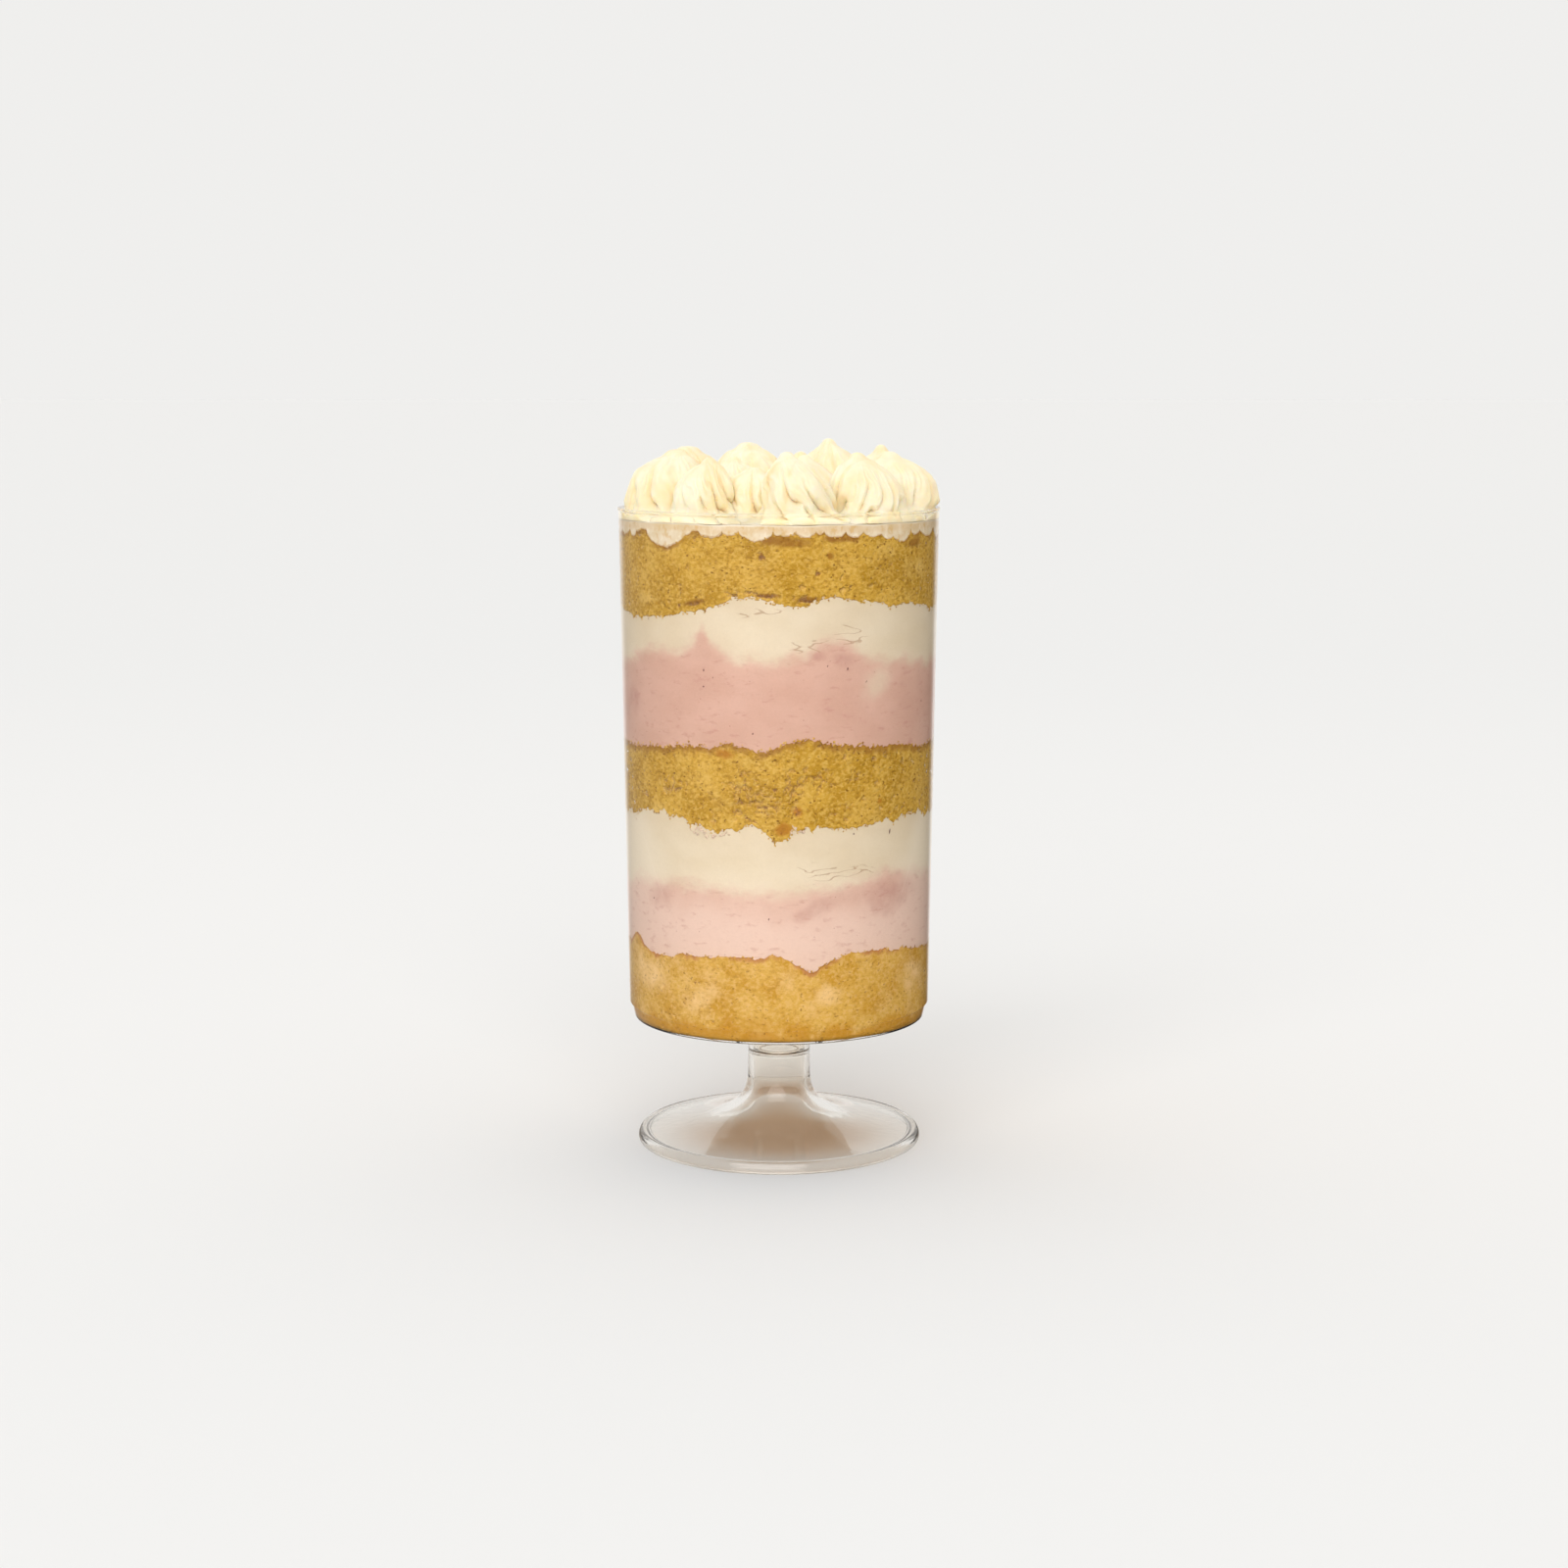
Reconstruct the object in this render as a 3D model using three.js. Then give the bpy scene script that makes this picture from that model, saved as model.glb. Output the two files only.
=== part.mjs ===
// A tall footed trifle bowl of clear plastic, filled with layers of sponge, whipped cream and berry mousse
// and topped with piped cream rosettes. Millimetres, +Z up. The origin is under the middle of the foot, on
// the table, and the front of the trifle faces -Y. Angles run round the bowl from its front towards +X.
import * as THREE from "three";

// ---- Driving dimensions ------------------------------------------------------------------------------
const FACETS = 48; // round every turned piece and every layer
const CLEARANCE = 0.3; // between pieces that touch

// Bowl: a drafted cylinder with a small lip, a stepped base and a socket for the stem
const RIM_TOP = 301.2;
const RIM_RADIUS = 75;
const LIP_HEIGHT = 1.6;
const LIP_ROUND = 0.4;
const WALL = 2.3;
const DRAFT = 0.0154; // growth of the radius for each millimetre of height
const BASE_UNDERSIDE = 61.3;
const BASE_RADIUS = 68.8;
const STEP_TOP = 68.2;
const FLOOR = 2.7;
const FLOOR_FILLET = 6;
const SOCKET_BOTTOM = 43.6;
const SOCKET_RADIUS = 14.8;
const SOCKET_BORE = 12.4;

// Foot: a hollow trumpet with a thick rounded rim, plugged into the socket
const FOOT_RADIUS = 67.2;
const FOOT_RIM_HEIGHT = 6.2;
const FOOT_RIM_WIDTH = 3.6;
const FLARE_TOP = 36; // where the straight stem begins to flare
const FOOT_WALL = 2.6;
const SPIGOT_RADIUS = SOCKET_BORE - CLEARANCE;
const SPIGOT_CAP = 2.4;
const FLARE_STEPS = 8;

// Filling: heights of the joins between the layers at the wall, and how each join swells and dips there
const BED_TOP = 296; // the cream that the rosettes are piped on
const DOME_SHARE = 0.6; // ring half way in, where a join has half calmed down
const joins = {
  spongeBottomTop: {
    height: 100.5,
    swells: [
      { at: -53, rise: -4, spread: 12 },
      { at: -18, rise: 1.5, spread: 7 },
      { at: 0, rise: 2.6, spread: 6 },
      { at: 12, rise: -6, spread: 6 },
      { at: 36, rise: 2.5, spread: 12 },
      { at: 76, rise: -3, spread: 14 },
    ],
  },
  mousseLowerTop: {
    height: 133,
    swells: [
      { at: -78, rise: -4.5, spread: 14 },
      { at: -5, rise: -3, spread: 18 },
      { at: 48, rise: 3.5, spread: 16 },
    ],
  },
  creamLowerTop: {
    height: 160.5,
    swells: [
      { at: -42, rise: 4.5, spread: 12 },
      { at: -19, rise: -1.5, spread: 7 },
      { at: -1, rise: -5.5, spread: 6 },
      { at: 53, rise: 2.6, spread: 12 },
    ],
  },
  spongeMiddleTop: {
    height: 197,
    swells: [
      { at: -65, rise: -3.4, spread: 20 },
      { at: -18, rise: 1.8, spread: 6 },
      { at: -4, rise: -2, spread: 6 },
      { at: 10, rise: 4, spread: 9 },
      { at: 68, rise: -3.2, spread: 16 },
    ],
  },
  mousseUpperTop: {
    height: 236,
    swells: [
      { at: -76, rise: -4.5, spread: 15 },
      { at: -50, rise: 2.5, spread: 10 },
      { at: -28, rise: 9, spread: 8 },
      { at: 20, rise: 8.5, spread: 11 },
      { at: 72, rise: -4.5, spread: 20 },
    ],
  },
  creamUpperTop: {
    height: 259.5,
    swells: [
      { at: -58, rise: -6.5, spread: 24 },
      { at: -11, rise: 4.8, spread: 11 },
      { at: 21, rise: 4.8, spread: 10 },
      { at: 74, rise: -2.5, spread: 14 },
    ],
  },
  spongeTopTop: {
    height: 290.6,
    swells: [
      { at: -60, rise: 2.8, spread: 10 },
      { at: -46, rise: -4.4, spread: 7 },
      { at: -30, rise: 2.4, spread: 6 },
      { at: 13, rise: 1.8, spread: 7 },
      { at: 72, rise: -2, spread: 14 },
    ],
  },
};
const BACK_SWELLS = 4; // more swells round the back of each join
const BACK_RISE = 3.5;
const BACK_SPREAD = 13;

// Rosettes: nine piped in a ring, each beside the last, and four inside it. A nib is drawn off to a side.
const RIDGES = 12;
const RIDGE_DEPTH = 0.11;
const WAIST = 0.24; // share of the height at which a rosette is widest
const ringRosettes = [
  { at: 10, out: 54, radius: 17, height: 31.4, twist: 0.8, nib: [-6, 2] },
  { at: 47, out: 54, radius: 18, height: 31, twist: -0.4, nib: [-4, 3] },
  { at: 84, out: 55, radius: 20.8, height: 30.6, twist: -0.4, nib: [-4, -1] },
  { at: 117, out: 54, radius: 19.2, height: 32.9, twist: 0.5, nib: [0, 0] },
  { at: 154, out: 54.5, radius: 20, height: 35.4, twist: 0.6, nib: [0, 0] },
  { at: 196, out: 53.5, radius: 20, height: 33.4, twist: 0.45, nib: [0, 0] },
  { at: 238, out: 54, radius: 21, height: 32.2, twist: 0.7, nib: [3, 0] },
  { at: 286, out: 53, radius: 20.6, height: 31.8, twist: 0.3, nib: [4, 1] },
  { at: 322, out: 53.5, radius: 15.5, height: 28.6, twist: 0.8, nib: [2, 2] },
];
const innerRosettes = [
  { at: 341, out: 37, radius: 15, height: 23, twist: 0.5, nib: [1, 2] },
  { at: 35, out: 20, radius: 19, height: 29, twist: 0.5, nib: [0, 0] },
  { at: 150, out: 20, radius: 19, height: 30, twist: 0.6, nib: [0, 0] },
  { at: 268, out: 21, radius: 19, height: 28, twist: 0.4, nib: [0, 0] },
];

// ---- Materials ---------------------------------------------------------------------------------------
const clearPlastic = new THREE.MeshStandardMaterial({
  color: 0xf2f0ec,
  roughness: 0.06,
  metalness: 0,
  transparent: true,
  opacity: 0.3,
});
const sponge = new THREE.MeshStandardMaterial({ color: 0xce9f48, roughness: 0.9, metalness: 0 });
const cream = new THREE.MeshStandardMaterial({ color: 0xf2dfbe, roughness: 0.5, metalness: 0 });
const mousse = new THREE.MeshStandardMaterial({ color: 0xe3b59f, roughness: 0.55, metalness: 0 });
const pipedCream = new THREE.MeshStandardMaterial({ color: 0xfbeecb, roughness: 0.42, metalness: 0 });

// ---- Shared shape helpers ----------------------------------------------------------------------------
const radians = THREE.MathUtils.degToRad;

function onCircle(radius, angle, height) {
  return new THREE.Vector3(radius * Math.sin(angle), -radius * Math.cos(angle), height);
}

// Outside and inside radius of the bowl's wall at a height
function wallOutside(height) {
  return RIM_RADIUS - LIP_ROUND - DRAFT * (RIM_TOP - height);
}

function wallInside(height) {
  return wallOutside(height) - WALL;
}

// A turned solid from an outline of radius and height that starts and ends on the axis
function turned(outline) {
  const points = outline.map(([radius, height]) => new THREE.Vector2(radius, height));
  return new THREE.LatheGeometry(points, FACETS).rotateX(Math.PI / 2);
}

// A closed skin from a low pole, through rings that run the same way round, to a high pole. Bands from
// turnedBand on are split along the other diagonal, so that two skins can share a join exactly.
function closedSkin(lowPole, rings, highPole, turnedBand = Infinity) {
  const count = rings[0].length;
  const points = [lowPole, ...rings.flat(), highPole];
  const last = points.length - 1;
  const faces = [];
  for (let i = 0; i < count; i++) {
    const next = (i + 1) % count;
    faces.push(0, 1 + next, 1 + i);
    for (let band = 0; band < rings.length - 1; band++) {
      const low = 1 + band * count;
      const high = low + count;
      if (band < turnedBand) faces.push(low + i, low + next, high + next, low + i, high + next, high + i);
      else faces.push(low + i, low + next, high + i, low + next, high + next, high + i);
    }
    faces.push(last - count + i, last - count + next, last);
  }
  const geometry = new THREE.BufferGeometry().setFromPoints(points);
  geometry.setIndex(faces);
  geometry.computeVertexNormals();
  return geometry;
}

// ---- Bowl --------------------------------------------------------------------------------------------
function bowlGeometry() {
  const lipBottom = RIM_TOP - LIP_HEIGHT;
  const floorTop = BASE_UNDERSIDE + FLOOR;
  const filletTop = floorTop + FLOOR_FILLET;
  const stepRadius = wallOutside(STEP_TOP);
  return turned([
    [0, BASE_UNDERSIDE],
    [SOCKET_BORE, BASE_UNDERSIDE],
    [SOCKET_BORE, SOCKET_BOTTOM],
    [SOCKET_RADIUS, SOCKET_BOTTOM],
    [SOCKET_RADIUS, BASE_UNDERSIDE],
    [BASE_RADIUS - 0.8, BASE_UNDERSIDE],
    [BASE_RADIUS, BASE_UNDERSIDE + 0.6],
    [stepRadius - 0.5, STEP_TOP - 1.6],
    [stepRadius, STEP_TOP],
    [wallOutside(lipBottom), lipBottom],
    [RIM_RADIUS, lipBottom + LIP_ROUND],
    [RIM_RADIUS, RIM_TOP - LIP_ROUND],
    [RIM_RADIUS - LIP_ROUND, RIM_TOP],
    [wallInside(RIM_TOP) + LIP_ROUND, RIM_TOP],
    [wallInside(RIM_TOP), RIM_TOP - LIP_ROUND],
    [wallInside(filletTop), filletTop],
    [wallInside(filletTop) - 1.1, floorTop + FLOOR_FILLET * 0.42],
    [wallInside(filletTop) - 3.4, floorTop],
    [0, floorTop],
  ]);
}

// ---- Foot --------------------------------------------------------------------------------------------
function flare(stemRadius, shoulder, hip, rimRadius, rimHeight) {
  const curve = new THREE.CubicBezierCurve(
    new THREE.Vector2(stemRadius, FLARE_TOP),
    new THREE.Vector2(stemRadius, shoulder),
    hip,
    new THREE.Vector2(rimRadius, rimHeight),
  );
  return curve.getPoints(FLARE_STEPS).map((p) => [p.x, p.y]);
}

function footGeometry() {
  const spigotTop = BASE_UNDERSIDE - CLEARANCE;
  const spigotFoot = SOCKET_BOTTOM - CLEARANCE;
  const bore = SPIGOT_RADIUS - FOOT_WALL;
  const stemBore = SOCKET_RADIUS - FOOT_WALL;
  const rimInside = FOOT_RADIUS - FOOT_RIM_WIDTH;
  const inside = flare(stemBore, 18, new THREE.Vector2(24, 11.3), rimInside - 1.6, FOOT_RIM_HEIGHT - 2.9);
  const outside = flare(SOCKET_RADIUS, 20, new THREE.Vector2(26, 14), rimInside + 0.3, FOOT_RIM_HEIGHT);
  return turned([
    [0, spigotTop - SPIGOT_CAP],
    [bore, spigotTop - SPIGOT_CAP],
    [bore, spigotFoot - FOOT_WALL / 2],
    [stemBore, spigotFoot - FOOT_WALL * 1.5],
    ...inside,
    [rimInside - 0.8, 0],
    [FOOT_RADIUS - 0.9, 0],
    [FOOT_RADIUS - 0.2, 1],
    [FOOT_RADIUS, 2.6],
    [FOOT_RADIUS - 0.7, 4.6],
    [FOOT_RADIUS - 1.9, 5.8],
    ...outside.reverse(),
    [SOCKET_RADIUS, spigotFoot],
    [SPIGOT_RADIUS, spigotFoot],
    [SPIGOT_RADIUS, spigotTop],
    [0, spigotTop],
  ]);
}

// ---- Filling -----------------------------------------------------------------------------------------
// A repeatable draw from 0 to 1 for the back of each join
function draw(seed) {
  const wave = Math.sin(seed * 127.1 + 11.7) * 43758.5453;
  return wave - Math.floor(wave);
}

Object.values(joins).forEach((join, index) => {
  for (let k = 0; k < BACK_SWELLS; k++) {
    const seed = index * BACK_SWELLS + k;
    const at = 120 + 40 * (k + 0.6 * draw(seed));
    join.swells.push({ at, rise: BACK_RISE * (2 * draw(seed + 0.5) - 1), spread: BACK_SPREAD });
  }
});

// Height of a join at an angle, and at a share of the way from the middle (0) to the wall (1)
function joinHeight(join, angle, share) {
  let rise = 0;
  for (const swell of join.swells) {
    const turn = Math.atan2(Math.sin(angle - radians(swell.at)), Math.cos(angle - radians(swell.at)));
    rise += swell.rise * Math.exp(-((turn / radians(swell.spread)) ** 2));
  }
  return join.height + rise * share * share;
}

function layerRing(heightAt, share, lift) {
  const ring = [];
  for (let i = 0; i < FACETS; i++) {
    const angle = (2 * Math.PI * i) / FACETS;
    const height = heightAt(angle, share) + lift;
    ring.push(onCircle((wallInside(height) - CLEARANCE) * share, angle, height));
  }
  return ring;
}

// A layer between two joins, half a clearance short of each
function layerGeometry(lower, upper) {
  const under = (angle, share) => joinHeight(lower, angle, share);
  const over = (angle, share) => joinHeight(upper, angle, share);
  const lift = CLEARANCE / 2;
  return closedSkin(
    new THREE.Vector3(0, 0, lower.height + lift),
    [
      layerRing(under, DOME_SHARE, lift),
      layerRing(under, 1, lift),
      layerRing(over, 1, -lift),
      layerRing(over, DOME_SHARE, -lift),
    ],
    new THREE.Vector3(0, 0, upper.height - lift),
    2,
  );
}

// The bottom sponge stands on the floor of the bowl and follows the rounding round its edge
function bottomSpongeGeometry() {
  const floor = BASE_UNDERSIDE + FLOOR + CLEARANCE;
  const filletTop = floor + FLOOR_FILLET;
  const filletRadius = wallInside(filletTop) - CLEARANCE;
  const upper = joins.spongeBottomTop;
  const over = (angle, share) => joinHeight(upper, angle, share);
  const level = (radius, height) =>
    Array.from({ length: FACETS }, (_, i) => onCircle(radius, (2 * Math.PI * i) / FACETS, height));
  return closedSkin(
    new THREE.Vector3(0, 0, floor),
    [
      level(filletRadius - 3.6, floor),
      level(filletRadius - 1.2, floor + FLOOR_FILLET * 0.42),
      level(filletRadius, filletTop),
      layerRing(over, 1, -CLEARANCE / 2),
      layerRing(over, DOME_SHARE, -CLEARANCE / 2),
    ],
    new THREE.Vector3(0, 0, upper.height - CLEARANCE / 2),
    3,
  );
}

// ---- Rosettes ----------------------------------------------------------------------------------------
const rosettes = [...ringRosettes, ...innerRosettes].map((rosette) => ({
  ...rosette,
  centre: onCircle(rosette.out, radians(rosette.at), BED_TOP + CLEARANCE),
}));

// How far a rosette may spread in a direction before it meets a neighbour or, low down, the wall
function reach(rosette, direction, height) {
  const { centre, radius } = rosette;
  let limit = Infinity;
  for (const other of rosettes) {
    if (other === rosette) continue;
    const gap = other.centre.clone().sub(centre).setZ(0);
    const apart = gap.length();
    const share = direction.dot(gap) / apart;
    const border = (apart * apart + radius * radius - other.radius ** 2) / (2 * apart) - CLEARANCE / 2;
    if (share > 0) limit = Math.min(limit, border / share);
  }
  if (height < RIM_TOP + 2 * CLEARANCE) {
    const wall = wallInside(RIM_TOP) * Math.cos(Math.PI / FACETS) - CLEARANCE;
    const along = direction.dot(centre);
    const flat = centre.x ** 2 + centre.y ** 2;
    limit = Math.min(limit, Math.sqrt(along * along - flat + wall * wall) - along);
  }
  return limit;
}

// Width of a rosette at a share of its height: it rounds in below its waist and domes over above it
function girth(share) {
  if (share < WAIST) return 1 - 0.14 * (1 - share / WAIST) ** 2;
  const climb = (share - WAIST) / (1 - WAIST);
  return (1 - climb * climb) ** 0.75;
}

function rosetteGeometry(rosette) {
  const { centre, radius, height, twist, nib } = rosette;
  const rimShare = (RIM_TOP + 1.5 * CLEARANCE - centre.z) / height;
  const shares = [0, rimShare, 0.31, 0.46, 0.61, 0.75, 0.87, 0.95];
  const leaning = (share) => new THREE.Vector3(nib[0], nib[1], 0).multiplyScalar(share ** 3);
  const rings = shares.map((share) => {
    const ring = [];
    for (let i = 0; i < 2 * RIDGES; i++) {
      const angle = (Math.PI * i) / RIDGES + twist * (1 - share);
      const ridge = 1 - RIDGE_DEPTH * (i % 2);
      const direction = onCircle(1, angle, 0);
      const spread = Math.min(radius * girth(share) * ridge, reach(rosette, direction, centre.z + height * share));
      const point = direction.multiplyScalar(spread).add(centre).add(leaning(share));
      ring.push(point.setZ(centre.z + height * share));
    }
    return ring;
  });
  const tip = centre.clone().add(leaning(1)).setZ(centre.z + height);
  return closedSkin(centre.clone(), rings, tip);
}

// ---- Assembly ----------------------------------------------------------------------------------------
const trifle = new THREE.Group();

function place(name, geometry, material) {
  const mesh = new THREE.Mesh(geometry, material);
  mesh.name = name;
  trifle.add(mesh);
}

const bedTop = { height: BED_TOP, swells: [] };

place("foot", footGeometry(), clearPlastic);
place("bowl", bowlGeometry(), clearPlastic);
place("sponge_bottom", bottomSpongeGeometry(), sponge);
place("mousse_lower", layerGeometry(joins.spongeBottomTop, joins.mousseLowerTop), mousse);
place("cream_lower", layerGeometry(joins.mousseLowerTop, joins.creamLowerTop), cream);
place("sponge_middle", layerGeometry(joins.creamLowerTop, joins.spongeMiddleTop), sponge);
place("mousse_upper", layerGeometry(joins.spongeMiddleTop, joins.mousseUpperTop), mousse);
place("cream_upper", layerGeometry(joins.mousseUpperTop, joins.creamUpperTop), cream);
place("sponge_top", layerGeometry(joins.creamUpperTop, joins.spongeTopTop), sponge);
place("cream_bed", layerGeometry(joins.spongeTopTop, bedTop), cream);
rosettes.forEach((rosette, index) => {
  const name = "rosette_" + String(index + 1).padStart(2, "0");
  place(name, rosetteGeometry(rosette), pipedCream);
});

export default trifle;
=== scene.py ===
import math

import bpy
import numpy as np
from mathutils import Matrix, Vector, noise


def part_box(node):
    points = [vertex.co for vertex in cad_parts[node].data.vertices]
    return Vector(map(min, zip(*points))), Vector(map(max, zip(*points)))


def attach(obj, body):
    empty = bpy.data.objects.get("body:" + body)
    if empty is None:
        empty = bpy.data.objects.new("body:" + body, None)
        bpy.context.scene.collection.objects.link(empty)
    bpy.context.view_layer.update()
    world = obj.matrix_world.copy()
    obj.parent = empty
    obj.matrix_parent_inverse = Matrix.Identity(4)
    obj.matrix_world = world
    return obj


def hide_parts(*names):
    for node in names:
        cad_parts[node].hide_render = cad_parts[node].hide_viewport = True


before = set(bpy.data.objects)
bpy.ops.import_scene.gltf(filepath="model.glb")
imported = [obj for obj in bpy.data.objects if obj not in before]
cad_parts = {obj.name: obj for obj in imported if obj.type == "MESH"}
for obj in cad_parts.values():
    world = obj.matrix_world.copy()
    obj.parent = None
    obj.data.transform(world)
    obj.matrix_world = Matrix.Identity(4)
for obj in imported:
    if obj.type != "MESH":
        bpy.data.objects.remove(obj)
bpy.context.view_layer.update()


# ---- Foot ------------------------------------------------
# The trumpet foot that the bowl stands on, moulded hollow in clear plastic with a thick rounded rim.
# Its stem ends in a spigot that is pushed up into the socket under the bowl.

MM = 0.001
ROUND = 288  # facets round a turned piece
CLEARANCE = 0.3
SEAM = 0.12
SOCKET_BOTTOM = 43.6
SOCKET_RADIUS = 14.8
FOOT_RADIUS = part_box("foot")[1].x / MM
SPIGOT_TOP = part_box("foot")[1].z / MM
SPIGOT_RADIUS = 12.28
FOOT_WALL = 2.6
SPIGOT_CAP = 2.6
FOOT_RIM_WIDTH = 3.6
FOOT_RIM_HEIGHT = 6.2
FLARE_STEPS = 40
LONGEST_EASE = 0.42  # share of a side that its rounded corner may take
STAY = 0.04  # share of a side between a rounded corner and its stay


def eased(outline, ease, steps=5, gentlest=8):
    """An outline with its corners rounded over a length, and a stay beside each so that the flats stay
    flat. A bend below gentlest degrees is left alone."""
    line = [outline[0]]
    for before, corner, after in zip(outline, outline[1:], outline[2:]):
        corner = np.array(corner, float)
        back, ahead = before - corner, after - corner
        behind, beyond = np.linalg.norm(back), np.linalg.norm(ahead)
        bend = math.degrees(math.acos(np.clip(-back @ ahead / (behind * beyond), -1, 1)))
        if bend < gentlest:
            line.append(corner)
            continue
        reach = min(ease, LONGEST_EASE * behind, LONGEST_EASE * beyond)
        start = corner + back / behind * reach
        end = corner + ahead / beyond * reach
        line.append(start + back * STAY)
        for step in range(steps + 1):
            t = step / steps
            line.append((1 - t) ** 2 * start + 2 * t * (1 - t) * corner + t * t * end)
        line.append(end + ahead * STAY)
    return [*line, outline[-1]]


def in_scene(name, data):
    made = bpy.data.objects.new(name, data)
    bpy.context.scene.collection.objects.link(made)
    return made


def new_piece(name, points, faces, finish=None):
    """A smooth-shaded mesh piece from points in millimetres."""
    mesh = bpy.data.meshes.new(name)
    mesh.from_pydata((np.array(points) * MM).tolist(), [], faces)
    mesh.polygons.foreach_set("use_smooth", [True] * len(mesh.polygons))
    mesh.update()
    if finish:
        mesh.materials.append(finish)
    return in_scene(name, mesh)


def round_axis(turns, radius, height):
    """Points round the upright axis, the turns counted from the front."""
    return np.column_stack([radius * np.sin(turns), -radius * np.cos(turns), height + 0 * turns])


def skin(low_pole, rings, high_pole):
    """Points and faces of a closed skin: a low pole, rings that run the same way round, and a high pole."""
    count = len(rings[0])
    points = np.concatenate([[low_pole], *rings, [high_pole]])
    last = len(points) - 1
    around = [(i, (i + 1) % count) for i in range(count)]
    faces = [(0, 1 + b, 1 + a) for a, b in around]
    for low in range(1, last - count, count):
        high = low + count
        faces += [(low + a, low + b, high + b, high + a) for a, b in around]
    faces += [(last - count + a, last - count + b, last) for a, b in around]
    return points, faces


def turned(name, line, finish):
    """A piece turned from an outline of radius and height that starts and ends on the upright axis."""
    angles = np.linspace(0, 2 * math.pi, ROUND, endpoint=False)
    rings = [round_axis(angles, radius, height) for radius, height in line[1:-1]]
    points, faces = skin((0, 0, line[0][1]), rings, (0, 0, line[-1][1]))
    return new_piece(name, points, faces, finish)


def fitted(piece, slot, *nodes):
    """The piece rides on the trifle's one body and stands for the nodes named."""
    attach(piece, "root")
    if nodes:
        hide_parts(*nodes)


def found(sockets, name):
    return next((socket for socket in sockets if socket.identifier == name), None) or sockets[name]


class Value:
    """An output of a node. Arithmetic on it adds Math nodes, and indexing gives its node's other outputs."""

    def __init__(self, plan, socket):
        self.plan = plan
        self.socket = socket

    def __getitem__(self, name):
        return Value(self.plan, found(self.socket.node.outputs, name))

    def __add__(self, other):
        return self.plan.math("ADD", self, other)

    def __sub__(self, other):
        return self.plan.math("SUBTRACT", self, other)

    def __rsub__(self, other):
        return self.plan.math("SUBTRACT", other, self)

    def __mul__(self, other):
        return self.plan.math("MULTIPLY", self, other)

    def __truediv__(self, other):
        return self.plan.math("DIVIDE", self, other)

    def __rtruediv__(self, other):
        return self.plan.math("DIVIDE", other, self)

    def __pow__(self, other):
        return self.plan.math("POWER", self, other)

    def rise(self, start, end):
        """0 before start, 1 after end, and smooth between them."""
        inputs = {"Value": self, "From Min": start, "From Max": end}
        return self.plan.node("ShaderNodeMapRange", inputs, interpolation_type="SMOOTHSTEP")

    __radd__ = __add__
    __rmul__ = __mul__


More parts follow.
